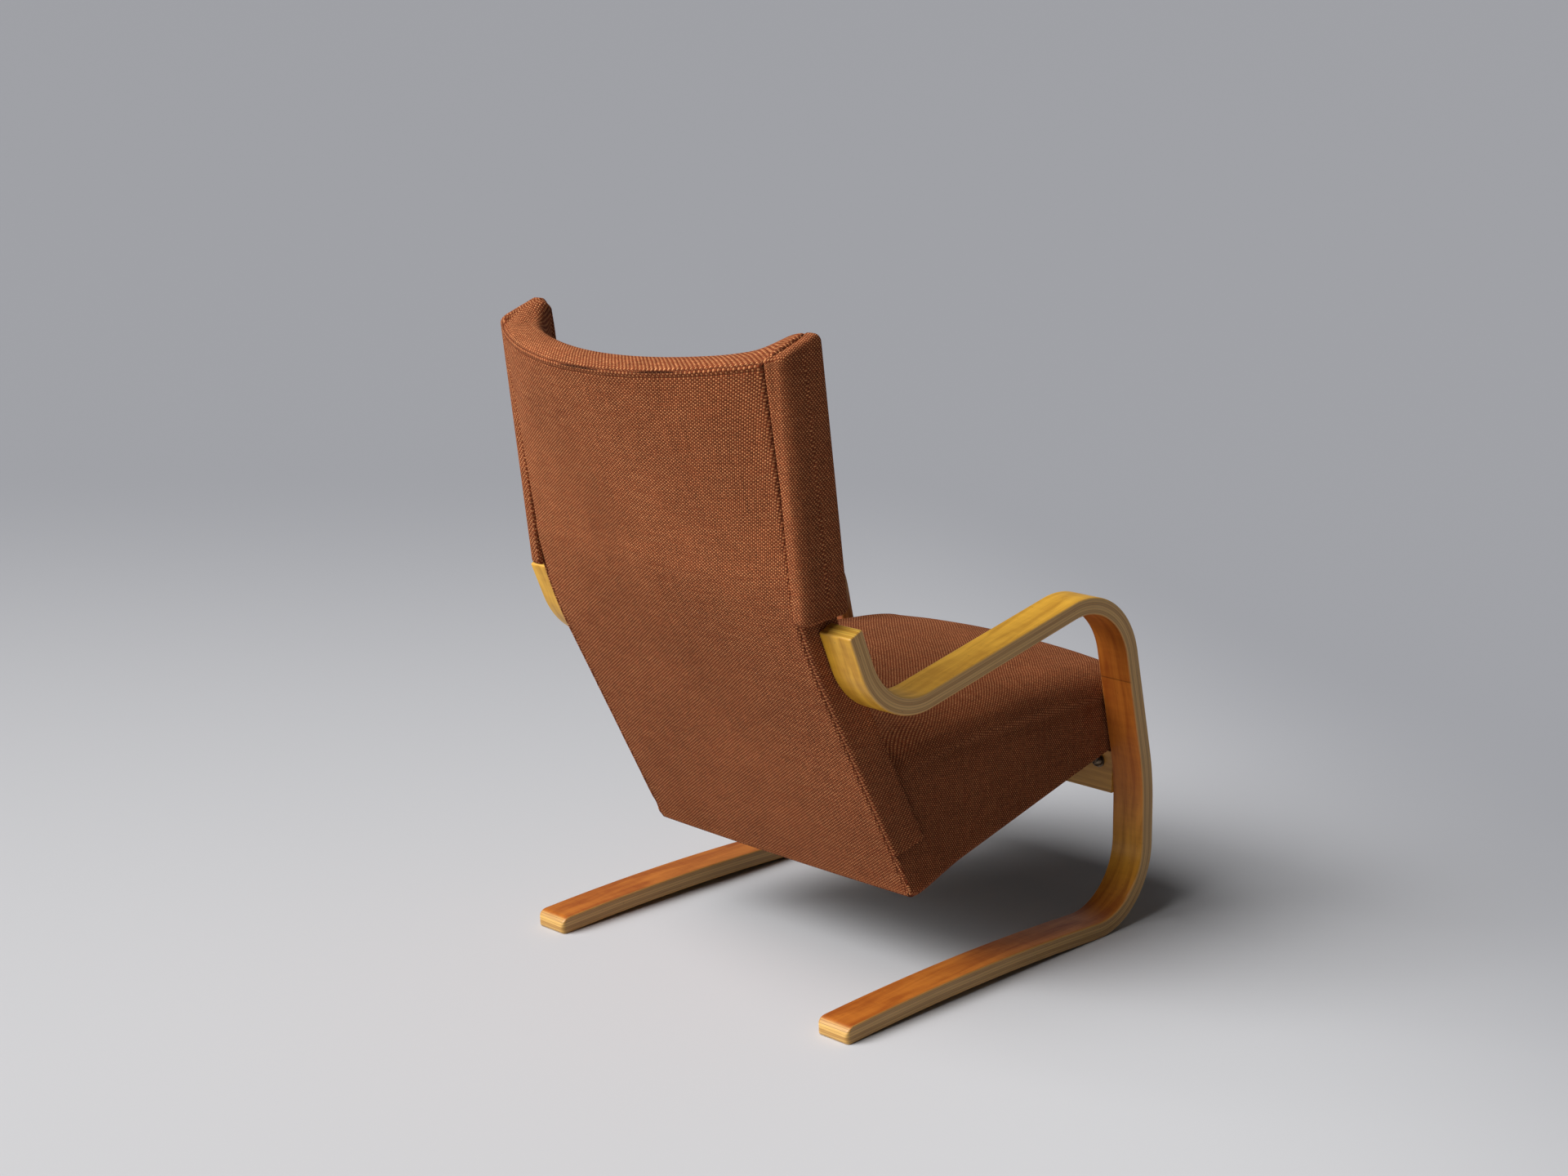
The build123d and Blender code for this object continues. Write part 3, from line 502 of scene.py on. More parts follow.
    # Small dark pits and scratches.
    pit_place = add(tree, "ShaderNodeMapping", {"Vector": grain, "Scale": (1 / 17, 1 / 9, 1 / 9)})
    pits = add(tree, "ShaderNodeTexVoronoi", {"Vector": pit_place, "Scale": 1.0, "Randomness": 1.0},
               feature="F1")
    pit = add(tree, "ShaderNodeMapRange",
              {"Value": pits.outputs["Distance"], "From Min": 0.03, "From Max": 0.09,
               "To Min": 0.55, "To Max": 1.0})
    wood = add(tree, "ShaderNodeVectorMath", {0: wood.outputs[MIXED], "Scale": pit}, operation="SCALE")
    rough = add(tree, "ShaderNodeMapRange",
                {"Value": figure, "From Min": 0.5, "From Max": 1.2, "To Min": 0.46, "To Max": 0.34})
    bump = add(tree, "ShaderNodeBump", {"Strength": 0.12, "Distance": 0.4 * MM, "Height": pores})
    plug(tree, shader, {"Base Color": wood, "Roughness": rough, "Normal": bump, "IOR": 1.5,
                        "Specular IOR Level": 0.36, "Coat Weight": 0.12, "Coat Roughness": 0.18})
    return material


def plain_timber(name, dark, light, rough):
    """Planed solid wood: long streaks along the X axis and fine pores, scraped rather than polished."""
    material, tree, shader = new_material(name)
    place = add(tree, "ShaderNodeTexCoord").outputs["Object"]
    long_place = add(tree, "ShaderNodeMapping", {"Vector": place, "Scale": (per(160.0), per(7.0), per(7.0))})
    streaks = add(tree, "ShaderNodeTexNoise",
                  {"Vector": long_place, "Scale": 1.0, "Detail": 4.0, "Distortion": 0.4})
    pore_place = add(tree, "ShaderNodeMapping", {"Vector": place, "Scale": (per(30.0), per(0.8), per(0.8))})
    pores = add(tree, "ShaderNodeTexNoise", {"Vector": pore_place, "Scale": 1.0, "Detail": 2.0})
    figure = add(tree, "ShaderNodeMath", {0: pores, 1: 0.4, 2: streaks}, operation="MULTIPLY_ADD")
    share = add(tree, "ShaderNodeMapRange", {"Value": figure, "From Min": 0.45, "From Max": 0.95})
    colour = add(tree, "ShaderNodeMix", {"Factor": share, FIRST: linear(dark), SECOND: linear(light)},
                 data_type="RGBA")
    bump = add(tree, "ShaderNodeBump", {"Strength": 0.15, "Distance": 0.5 * MM, "Height": pores})
    plug(tree, shader, {"Base Color": colour.outputs[MIXED], "Normal": bump, "Roughness": rough})
    return material


def dark_steel():
    """Browned mild steel: a dark warm metal with rubbed bright spots and a satin gloss."""
    material, tree, shader = new_material("browned_steel")
    place = add(tree, "ShaderNodeTexCoord").outputs["Object"]
    wear = add(tree, "ShaderNodeTexNoise", {"Vector": place, "Scale": per(3.0), "Detail": 3.0})
    colour = add(tree, "ShaderNodeMix",
                 {"Factor": wear, FIRST: linear("#3A2C22"), SECOND: linear("#8A7A68")}, data_type="RGBA")
    rough = add(tree, "ShaderNodeMapRange", {"Value": wear, "To Min": 0.45, "To Max": 0.28})
    plug(tree, shader, {"Base Color": colour.outputs[MIXED], "Roughness": rough, "Metallic": 1.0})
    return material


def plain_weave(name, dark, light, pitch):
    """Jute band or cotton lining in a coarse plain weave of flat yarns: matt, with small even squares."""
    material, tree, shader = new_material(name)
    place = add(tree, "ShaderNodeTexCoord").outputs["Object"]
    turns = add(tree, "ShaderNodeVectorMath", {0: place, "Scale": math.pi * per(pitch)}, operation="SCALE")
    parts = add(tree, "ShaderNodeSeparateXYZ", {0: turns})
    warp = add(tree, "ShaderNodeMath", {0: parts.outputs["X"]}, operation="SINE")
    weft = add(tree, "ShaderNodeMath", {0: parts.outputs["Y"]}, operation="SINE")
    cell = add(tree, "ShaderNodeMath", {0: warp, 1: weft}, operation="MULTIPLY")
    over = add(tree, "ShaderNodeMapRange", {"Value": cell, "From Min": -1.0, "From Max": 1.0})
    colour = add(tree, "ShaderNodeMix", {"Factor": over, FIRST: linear(dark), SECOND: linear(light)},
                 data_type="RGBA")
    lift = add(tree, "ShaderNodeMath", {0: cell}, operation="ABSOLUTE")
    bump = add(tree, "ShaderNodeBump", {"Strength": 0.4, "Distance": 0.6 * MM, "Height": lift})
    plug(tree, shader, {"Base Color": colour.outputs[MIXED], "Normal": bump, "Roughness": 0.95})
    return material


def size_setting(name, description, size):
    """Length setting with its default given in millimetres."""
    return FloatProperty(name=name, description=description, default=size * MM, min=0.0, precision=4,
                         unit="LENGTH")


def colour_setting(name, description, code):
    """Colour setting with its default given as an sRGB hex value."""
    return FloatVectorProperty(name=name, description=description, default=linear(code), size=4,
                               min=0.0, max=1.0, subtype="COLOR")


def strength_setting(name, description, power):
    """Strength of a light."""
    return FloatProperty(name=name, description=description, default=power, min=0.0)


def in_mm(length):
    """A length setting in millimetres, without the rounding of its storage."""
    return round(length / MM, 3)


class ARMCHAIR_PG_frame(bpy.types.PropertyGroup):
    """Sizes and finishes of the bent side frames."""
    ribbon_width: size_setting("Ribbon width", "Width of the bent ribbon", 54.0)
    ribbon_thick: size_setting("Ribbon thickness", "Thickness of the bent ribbon", 24.0)
    veneers: IntProperty(name="Veneers", description="Layers glued in the ribbon", default=7, min=1)
    arris: size_setting("Arris", "Rounding of the long edges", 2.5)
    outer_dark: colour_setting("Outer face, dark", "Dark figure on the outer face", "#BC821E")
    outer_light: colour_setting("Outer face, light", "Light figure on the outer face", "#EEB438")
    inner_dark: colour_setting("Inner face, dark", "Dark figure on the inner face", "#A04E18")
    inner_light: colour_setting("Inner face, light", "Light figure on the inner face", "#D47E2E")
    edge_dark: colour_setting("Edge, dark", "Darkest veneer on the edges", "#AC783E")
    edge_light: colour_setting("Edge, light", "Lightest veneer on the edges", "#EABA72")
    cut_dark: colour_setting("Cut end, dark", "Darkest veneer on the cut ends", "#AC7420")
    cut_light: colour_setting("Cut end, light", "Lightest veneer on the cut ends", "#ECBC50")
    worn_edge: colour_setting("Worn arris", "Wood where the lacquer is rubbed thin", "#D8A65A")


class ARMCHAIR_PG_cover(bpy.types.PropertyGroup):
    """Sizes and colours of the upholstery."""
    yarn_across: size_setting("Yarns across", "Spacing of the upright yarns", 2.8)
    yarn_up: size_setting("Yarns up", "Spacing of the level yarns", 2.3)
    yarn_relief: size_setting("Yarn relief", "Height of the yarns", 0.9)
    seam_depth: size_setting("Seam depth", "Depth of the sewn grooves", 2.2)
    warp_dark: colour_setting("Warp, dark", "Dark stretches of the upright yarns", "#682F18")
    warp_mid: colour_setting("Warp, mid", "Lighter stretches of the upright yarns", "#93492A")
    weft_mid: colour_setting("Weft, mid", "Darker stretches of the level yarns", "#A9623C")
    weft_light: colour_setting("Weft, light", "Light stretches of the level yarns", "#DA9A66")


class ARMCHAIR_PG_stage(bpy.types.PropertyGroup):
    """Floor, lights and camera."""
    floor_near: colour_setting("Floor, near", "Floor at the camera's side", "#CECED0")
    floor_far: colour_setting("Floor, far", "Floor away from the camera", "#9C9DA2")
    key_power: strength_setting("Key light", "Strength of the large soft light", 2.85)
    side_power: strength_setting("Side light", "Strength of the low light on the back", 1.75)
    front_power: strength_setting("Front light", "Strength of the weak light on the front", 0.09)
    fill: strength_setting("Fill light", "Strength of the even light all round", 0.05)
    lens: FloatProperty(name="Lens", description="Focal length", default=58.02, min=1.0, unit="CAMERA")
    azimuth: FloatProperty(name="Azimuth", description="Viewing direction round the chair",
                           default=math.radians(224.48), subtype="ANGLE")
    elevation: FloatProperty(name="Elevation", description="Viewing direction above the floor",
                             default=math.radians(13.37), subtype="ANGLE")
    distance: FloatProperty(name="Distance", description="Camera to target", default=3.419, unit="LENGTH")
    target: FloatVectorProperty(name="Target", description="Point looked at",
                                default=(0.00026, 0.07555, 0.51251), size=3, subtype="XYZ", unit="LENGTH")


class ARMCHAIR_OT_side_frames(bpy.types.Operator):
    """Two bent ribbons with eased arrises, a rounded runner tip and a sawn arm end"""
    bl_idname = "armchair.side_frames"
    bl_label = "Side frames"

    # Where the inner veneer is spliced on the upright, and places in millimetres from the runner's tip.
    splice_z = 363.0
    upright_y = -250.0
    tip_end = 20.0
    knee = 665.0
    runner_darker_ends = (640.0, 540.0)
    inner_ends = (1130.0, 1500.0)
    # Rounding of the runner's tip at its sides, its top and its sole.
    tip_rounds = (6.5, 5.0, 14.0)
    # How far along the grain the second ribbon's figure starts, so that the two differ.
    figure_apart = 900.0

    def execute(self, context):
        settings = context.scene.armchair_frame
        material = birch_laminate(settings)
        half_wide = in_mm(settings.ribbon_width) / 2
        half_thick = in_mm(settings.ribbon_thick) / 2
        arris = in_mm(settings.arris)
        path, total = even_path(rounded_path(RIBBON_CORNERS, RIBBON_RADII, 2.0), 5.0)
        last = len(path) - 1
        on_upright = next(i for i, (y, z) in enumerate(path) if z > self.splice_z and y < self.upright_y)
        joint = total * on_upright / last
        sides, top, sole = self.tip_rounds
        rows = []
        marks = {key: [] for key in ("grain", "edge", "inner", "cut", "splice")}
        for s in self.stations(total, joint):
            at = s / total * last
            i = min(last - 1, int(at))
            spot = [mix(a, b, at - i) for a, b in zip(path[i], path[i + 1])]
            way = direction(path[max(0, i - 1)], path[min(last, i + 2)])
            sawn = self.end_inset(total - s, arris)
            inset = self.end_inset(s, sides) + sawn
            high = half_thick - self.end_inset(s, top) - sawn
            low = -half_thick + self.end_inset(s, sole) + sawn
            ring = self.section(half_wide - inset, low, high, arris)
            rows.append([(FRAME_INSIDE + half_wide + x, spot[0] - way[1] * t, max(0.0, spot[1] + way[0] * t))
                         for x, t, on_edge in ring])
            at_tip = s < self.tip_end
            end = smooth(9.0, 3.0, s) if at_tip else smooth(total - 1.2, total - 0.2, s)
            # Painted highlight: the inner face of the lower bend takes the lighter outer colours, standing
            # in for the gloss that the bend catches.
            painted_bend_highlight = 0.6 * hump(s - self.knee, 75.0)
            inside = 1.0 - max(smooth(*self.inner_ends, s), painted_bend_highlight)
            above = 0.14 * smooth(joint, joint + 1.5, s) * smooth(joint + 170.0, joint + 40.0, s)
            # The runner's top before the lower bend is made darker.
            runner_darker = 0.24 * smooth(*self.runner_darker_ends, s)
            worn = max(above, runner_darker, 0.9 * hump(s - joint, 1.0))
            marks["grain"].append([(s, x, t + half_thick) for x, t, on_edge in ring])
            marks["edge"].append([max(on_edge, end) for x, t, on_edge in ring])
            marks["inner"].append([inside if t < 0 else 0.0 for x, t, on_edge in ring])
            marks["cut"].append([0.25 * end if at_tip else end for _ in ring])
            marks["splice"].append([worn if t < 0 else 0.0 for x, t, on_edge in ring])
        for side, name in SIDES:
            made = sheet_mesh("bent_side_frame_" + name, on_side(rows, side), ring=True, caps=True,
                              marks=marks)
            outward(made)
            settle(made, material, ["side_frame_" + name])
            marks["grain"] = [[(s + self.figure_apart, x, t) for s, x, t in row] for row in marks["grain"]]
        return {"FINISHED"}

    def stations(self, total, joint):
        """Places along the ribbon, close together at both ends and at the splice."""
        tip = [0.0, 0.25, 0.8, 1.6, 2.5, 3.6, 5.0, 7.0, 9.5, 12.0, 14.0]
        sawn = [total - d for d in tip[:5]]
        splice = [joint + d for d in (-1.8, -1.0, -0.4, 0.1, 0.7, 1.5)]
        return sorted(set(tip + sawn + splice + [total * i / 320 for i in range(9, 319)]))

    def end_inset(self, distance, radius):
        """How far a rounded end has drawn in at a distance from the end."""
        if distance >= radius:
            return 0.0
        return radius - math.sqrt(max(0.0, radius * radius - (radius - distance) ** 2))

    def section(self, half, low, high, arris):
        """Ring of the ribbon's section as (across, through, share of edge)."""
        r = min(arris, (high - low) / 2.05)
        ring = []
        corners = [(half - r, high - r), (-half + r, high - r), (-half + r, low + r), (half - r, low + r)]
        for k, (x, t) in enumerate(corners):
            for i in range(6):
                a = math.radians(90 * k + 90 * i / 5)
                ring.append((x + r * math.cos(a), t + r * math.sin(a), abs(math.cos(a)) ** 2))
            if k % 2 == 0:
                for share in (0.02, 0.25, 0.5, 0.75, 0.98):
                    ring.append((mix(x, -x, share), t + (r if k == 0 else -r), 0.0))
            else:
                following = corners[(k + 1) % 4][1]
                for share in (0.06, 0.35, 0.65, 0.94):
                    ring.append((x + (-r if k == 1 else r), mix(t, following, share), 1.0))
        return ring


class ARMCHAIR_OT_back_cover(bpy.types.Operator):
    """Outside panel of the back, with its rolled edges, doubled top seam and puckered sides"""
    bl_idname = "armchair.back_cover"
    bl_label = "Outside back"

    # Distance of the second sewn line below the top seam.
    second_seam = 7.0

    def execute(self, context):
        depth = in_mm(context.scene.armchair_cover.seam_depth)
        side = [238.6, 238.4, 238.0, 237.4, 236.6, 235.4, 234.0, 231.5, 228.0]
        xs = [-x for x in side] + spread(-222, 222, 45) + side[::-1]
        drops = [24.0, 19.0, 15.5, 12.5, 10.5, 9.2, 8.4, 7.8, 7.4, 7.0, 6.6, 6.2, 5.6, 4.8, 3.6, 2.4,
                 1.6, 1.0, 0.5, 0.0]
        low_z = BACK_FOOT[1] + 4.0
        fold = 5.0
        rows, cloth, painted_shades = [], [], []
        # The foot is folded in under the back, with one row more that ends inside it.
        for turn in (1.2, 1.0, 0.75, 0.5, 0.25):
            angle = math.radians(118 * min(1.0, turn))
            forward = fold - fold * math.cos(angle) + (14.0 if turn > 1 else 0.0)
            z = low_z - fold * math.sin(angle) + (4.5 if turn > 1 else 0.0)
            rows.append([(x, rear_face(x, low_z) - forward, z) for x in xs])
            cloth.append([(x, 130.0 - 9.0 * turn) for x in xs])
            painted_shades.append([self.shade(x) for x in xs])
        tops = [top_seam(x) for x in xs]
        for share in spread(0.0, 1.0, 78)[:-1]:
            row = []
            for x, top in zip(xs, tops):
                start = top - drops[0]
                z = mix(low_z, start, share)
                row.append(self.point(x, z, drops[0] + start - z, depth))
            rows.append(row)
            cloth.append([(x, 136.0 + share * 745.0) for x in xs])
            painted_shades.append([self.shade(x) for x in xs])
        for drop in drops:
            rows.append([self.point(x, top - drop, drop, depth) for x, top in zip(xs, tops)])
            cloth.append([(x, CLOTH_TOP - drop) for x in xs])
            painted_shades.append([self.shade(x, drop) for x in xs])
        cover(context, "back_outside_cover", rows, cloth, ["outside_back_panel"],
              painted_shades=painted_shades, thick=2.5)
        return {"FINISHED"}

    def shade(self, x, drop=99.0):
        """Painted shade in the sewn grooves at the sides and along the two top seams, from none to full;
        without a drop the point is far below the top seam.
        """
        side = 1 - smooth(0.3, 2.4, BACK_HALF - abs(x))
        top = hump(drop, 1.4) + 0.85 * hump(drop - self.second_seam, 1.1)
        return min(1.0, max(side, top))

    def point(self, x, z, drop, depth):
        """A point of the outside, drawn in at its seams and very slightly full between them."""
        off = BACK_HALF - abs(x)
        y = rear_face(x, z)
        full = 2.2 * smooth(0, 60, off) * smooth(0, 60, drop) * smooth(0, 50, z - BACK_FOOT[1])
        roll = -4.5 * (1 - smooth(-0.6, 4.6, off)) ** 2
        pucker = 0.4 * noise.noise((z / 7.0, x / 90, 0.0)) * (1 - smooth(1.0, 13.0, off))
        seam = -depth * hump(drop, 1.1)
        welt = 0.9 * hump(drop - 3.6, 1.9)
        second = -0.8 * depth * hump(drop - self.second_seam, 0.8)
        uneven = 0.9 * noise.noise((x / 70, z / 90, 3.0)) * smooth(0, 30, off)
        return (x, y + full + roll + pucker + seam + welt + second + uneven, z)


class ARMCHAIR_OT_inside_back(bpy.types.Operator):
    """Top border and padded inside of the back, in one sweep that coves up and out into the wings"""
    bl_idname = "armchair.inside_back"
    bl_label = "Inside back and top border"

    # Height of the cover's hidden foot. At the front edge it rolls over and down: by how much, how long the
    # cloth is there, and the share of the top's depth at which the roll starts.
    foot_z = 288.0
    roll_drop = 20.0
    roll_laid = 30.0
    roll_start = 0.72

    def execute(self, context):
        depth = in_mm(context.scene.armchair_cover.seam_depth)
        ends = [206.0, 212.0, 217.0, 221.5, 225.5, 229.0, 232.0, 234.5, 237.0, 239.2, 241.2, 243.0, 244.5,
                245.6, 246.4, 247.0, 247.4, 247.9, 248.5, 249.1]
        xs = [-x for x in ends[::-1]] + spread(-200.0, 200.0, 57) + ends
        rows, cloth, painted_shades = [], [], []
        for kind, value in self.profile():
            made = [self.point(x, kind, value, depth) for x in xs]
            rows.append([p[:3] for p in made])
            cloth.append([(x, p[3]) for x, p in zip(xs, made)])
            painted_shades.append([p[4] for p in made])
        cover(context, "back_inside_cover", rows, cloth, ["inside_back_pad", "top_border"],
              painted_shades=painted_shades, thick=2.5)
        return {"FINISHED"}

    def profile(self):
        """Stations from a tuck behind the top seam, over the top and down the inside."""
        over = [0.0, 0.012, 0.025, 0.045, 0.08, 0.12, 0.2, 0.3, 0.42, 0.54, 0.64, self.roll_start]
        stations = [("tuck", 0.0)] + [("top", v) for v in over]
        stations += [("turn", v) for v in spread(0.0, 1.0, 11)[1:]]
        return stations + [("down", v) for v in spread(0.0, 1.0, 70)[1:]]

    def inside_y(self, wide, z):
        """Y of the padded inside face at a distance from the middle."""
        up = min(1.0, max(0.0, (z - BOW_START_Z) / (TOP_Z - BOW_START_Z)))
        small = max(0.0, 1 - abs(z - 400) / 220)
        small = small * small * (3 - 2 * small)
        side = back_line(z) - 55.0 + 10.0 * up
        middle = back_line(z) + bow(z) - 70.0 + 22.0 * up - 12.0 * small
        cove = smooth(545.0, 640.0, z)
        front, rear = wing_edges(z)
        meet = mix(front, rear, mix(0.32, 0.13, smooth(790.0, 885.0, z)))
        reach = min(1.0, max(0.0, wide - 160.0) / 72.0)
        roll = 9.0 * max(0.0, (wide - 205.0) / 26.5) ** 3
        y = mix(middle, side, min(1.0, (wide / 231.5) ** 2))
        return y - cove * max(0.0, side - meet) * reach ** 2.3 + (1 - cove) * roll

    def top_height(self, wide, y, share):
        """Height of the slanting top, which climbs to the wing's own top at its ends."""
        over = smooth(BACK_HALF - 1.0, 246.0, wide)
        lift = smooth(200.0, 245.0, wide) * mix(over, 1.0, smooth(0.0, 0.5, share))
        return mix(top_plane(y), wing_top(y) + 0.5, lift)

    def point(self, x, kind, value, depth):
        """A point of the sweep, its place along the cloth, and the painted shade that it takes at a seam."""
        wide = abs(x)
        seam_x = min(wide, BACK_HALF)
        low_x = math.copysign(225.0 + (wide - 225.0) * 0.62 if wide > 225.0 else wide, x)
        rear_y = rear_face(seam_x, top_seam(seam_x)) - 0.5 - 9.0 * smooth(BACK_HALF - 1.0, 246.0, wide)
        # The front edge's height and depth hang on each other, so they are found step by step from a guess.
        front_z = 890.0
        for _ in range(8):
            front_y = self.inside_y(wide, front_z)
            front_z = self.top_height(wide, front_y, 1.0)
        # The tuck behind the top seam is painted in full shade.
        if kind == "tuck":
            return x, rear_y - 3.0, self.top_height(wide, rear_y, 0.0) - 6.0, CLOTH_TOP - 5.0, 1.0
        width = rear_y - front_y
        end_z = front_z - self.roll_drop
        if kind == "down":
            z = mix(end_z, self.foot_z, value)
            uneven = 1.2 * noise.noise((x / 80, z / 90, 9.0)) * smooth(0.0, 0.1, value)
            laid = CLOTH_TOP + self.roll_laid + self.roll_start * width + value * (end_z - self.foot_z)
            return low_x, self.inside_y(abs(low_x), z) + uneven, z, laid, 0.0
        share = value if kind == "top" else self.roll_start
        # Painted shade along the ends, where the top meets the wings.
        end_shade = 0.2 * smooth(246.2, 247.2, wide)
        dip = 0.5 * smooth(246.2, 247.4, wide) + 6.0 * smooth(247.4, 249.1, wide)
        y = mix(rear_y, front_y, share)
        crown = 2.6 * math.sin(math.pi * min(1.0, share / 0.9)) * (1 - 0.7 * smooth(215.0, 245.0, wide))
        groove = hump(share * width, 1.2) * (1 - smooth(BACK_HALF - 2.0, BACK_HALF + 2.0, wide))
        z = self.top_height(wide, y, share) + crown - 1.2 * depth * groove - dip
        if kind == "top":
            return x, y, z, CLOTH_TOP + share * width, max(groove, end_shade)
        end_y = self.inside_y(abs(low_x), end_z)
        corner = (front_y - 1.5, front_z + 1.5 - dip)
        y = (1 - value) ** 2 * y + 2 * value * (1 - value) * corner[0] + value * value * end_y
        z = (1 - value) ** 2 * z + 2 * value * (1 - value) * corner[1] + value * value * end_z
        laid = CLOTH_TOP + share * width + value * self.roll_laid
        return mix(x, low_x, value), y, z, laid, end_shade * (1 - value)


class ARMCHAIR_OT_wings(bpy.types.Operator):
    """Two padded wings with rounded edges, a sewn line down the front and a narrow strip along the top"""
    bl_idname = "armchair.wings"
    bl_label = "Wings"

    # Rounding of the top and the foot, of the front edges, and of the rear edge across and along the wing.
    rim = 7.0
    front_round = 9.0
    rear_round = (11.0, 17.0)
    # Depth of the wing by which its section is laid out.
    deep = 78.0

    def execute(self, context):
        depth = in_mm(context.scene.armchair_cover.seam_depth)
        steps = [0.0, 0.3, 1.0, 2.2, 3.6, 5.2, 7.0]
        shrinks = [0.03, 0.2, 0.45, 0.72]
        levels = [("low cap", f) for f in shrinks] + [("low", d) for d in steps]
        levels += [("mid", v) for v in spread(0.0, 1.0, 56)[1:-1]]
        levels += [("high", d) for d in steps[::-1]] + [("high cap", f) for f in shrinks[::-1]]
        section = self.section()
        rows, cloth, painted_shades = [], [], []
        for kind, value in levels:
            made = [self.point(kind, value, x, t, depth) for x, t in section]
            rows.append([p[:3] for p in made])
            if "high" in kind:
                flat = [(p[1], p[2] + WING_OUTSIDE - p[0]) for p in made]
            else:
                turns = [1 if t > 0.5 else -1 for x, t in section]
                flat = [(p[1] + (WING_OUTSIDE - p[0]) * turn, p[2]) for p, turn in zip(made, turns)]
            cloth.append(flat + [flat[0]])
            painted_shades.append([p[3] for p in made])
        for side, name in SIDES:
            cover(context, "wing_pad_" + name, on_side(rows, side), cloth, ["wing_cover_" + name],
                  painted_shades=painted_shades)
        return {"FINISHED"}

    def section(self):
        """Level section of a wing as (x, share from front to rear), round from the outside to the rear."""
        rear_turn = [math.pi / 2 * i / 9 for i in range(10)]
        front_turn = [math.pi / 2 * i / 7 for i in range(8)]
        rear_seam = [(249.0, 0.0), (247.0, 0.0), (244.0, 0.0), (241.8, 0.2), (240.2, 0.8), (239.2, 1.8),
                     (238.6, 3.2), (238.2, 5.0), (236.0, 9.0), (233.0, 14.0)]
        front_seam = [243.0, 244.6, 245.6, 246.3, 247.0, 247.7, 248.4, 249.6, 251.0]
        ring = [(WING_OUTSIDE, t) for t in spread(0.16, 0.76, 9)]
        wide, long = self.rear_round
        ring += [(WING_OUTSIDE - wide + wide * math.cos(a), 1 - (long - long * math.sin(a)) / self.deep)
                 for a in rear_turn]
        ring += [(x, 1 - off / self.deep) for x, off in rear_seam]
        ring += [(WING_INSIDE, t) for t in spread(0.72, 0.18, 8)]
        r = self.front_round
        ring += [(WING_INSIDE + r - r * math.cos(a), (r - r * math.sin(a)) / self.deep) for a in front_turn]
        ring += [(x, 0.0) for x in front_seam]
        return ring + [(WING_OUTSIDE - r + r * math.sin(a), (r - r * math.cos(a)) / self.deep)
                       for a in front_turn]

    def point(self, kind, value, x, t, depth):
        """A point of the wing at a level, with the painted shade that it takes at a seam."""
        inset = 0.0
        if kind in ("low", "high"):
            inset = self.rim - math.sqrt(self.rim ** 2 - (self.rim - value) ** 2)
        elif kind != "mid":
            inset = self.rim
        shrink = value if "cap" in kind else 1.0
        wide = WING_SEAM + (x - WING_SEAM) * (1 - inset / 15.0) * shrink
        t = 0.5 + (t - 0.5) * (1 - inset / 39.0) * (1 - 0.12 * (1 - shrink))
        (front_foot, front_head), (rear_foot, rear_head) = WING_FRONT, WING_REAR
        low_z = mix(front_foot[1], rear_foot[1], t)
        span = wing_top(mix(front_head[0], rear_head[0], t)) - low_z
        up = mix(self.rim, span - self.rim, value)
        if kind != "mid":
            rise = 0.0 if "cap" in kind else value
            up = rise if "low" in kind else span - rise
        share = up / span
        rear = mix(rear_foot[0], rear_head[0], share)
        y = mix(mix(front_foot[0], front_head[0], share), rear, t)
        z = low_z + up - 6.0 * smooth(246.8, 238.0, wide) * smooth(span - 40.0, span, up)
        # Painted shade in the sewn line down the front.
        seam = hump(wide - WING_SEAM, 0.9) if t < 0.04 and kind == "mid" else 0.0
        y += 0.8 * depth * seam
        face = smooth(0.0, 0.25, t) * smooth(1.0, 0.75, t) * smooth(0.0, 0.1, share)
        face *= smooth(1.0, 0.9, share)
        if wide > 255:
            wide += 1.8 * face + 0.7 * noise.noise((y / 50, z / 60, 4.0)) * face
        if t > 0.8:
            step = back_line(z) - rear
            y += step * (smooth(253.0, 240.0, wide) if step > 0 else smooth(240.0, 238.4, wide))
            # Painted shade along the rear seam, where the wing meets the back.
            seam = max(seam, 0.8 * smooth(239.4, 238.4, wide))
            y += 0.4 * noise.noise((z / 6.0, 3.0, 0.0)) * smooth(246.0, 240.0, wide)
        return wide, y, z, seam


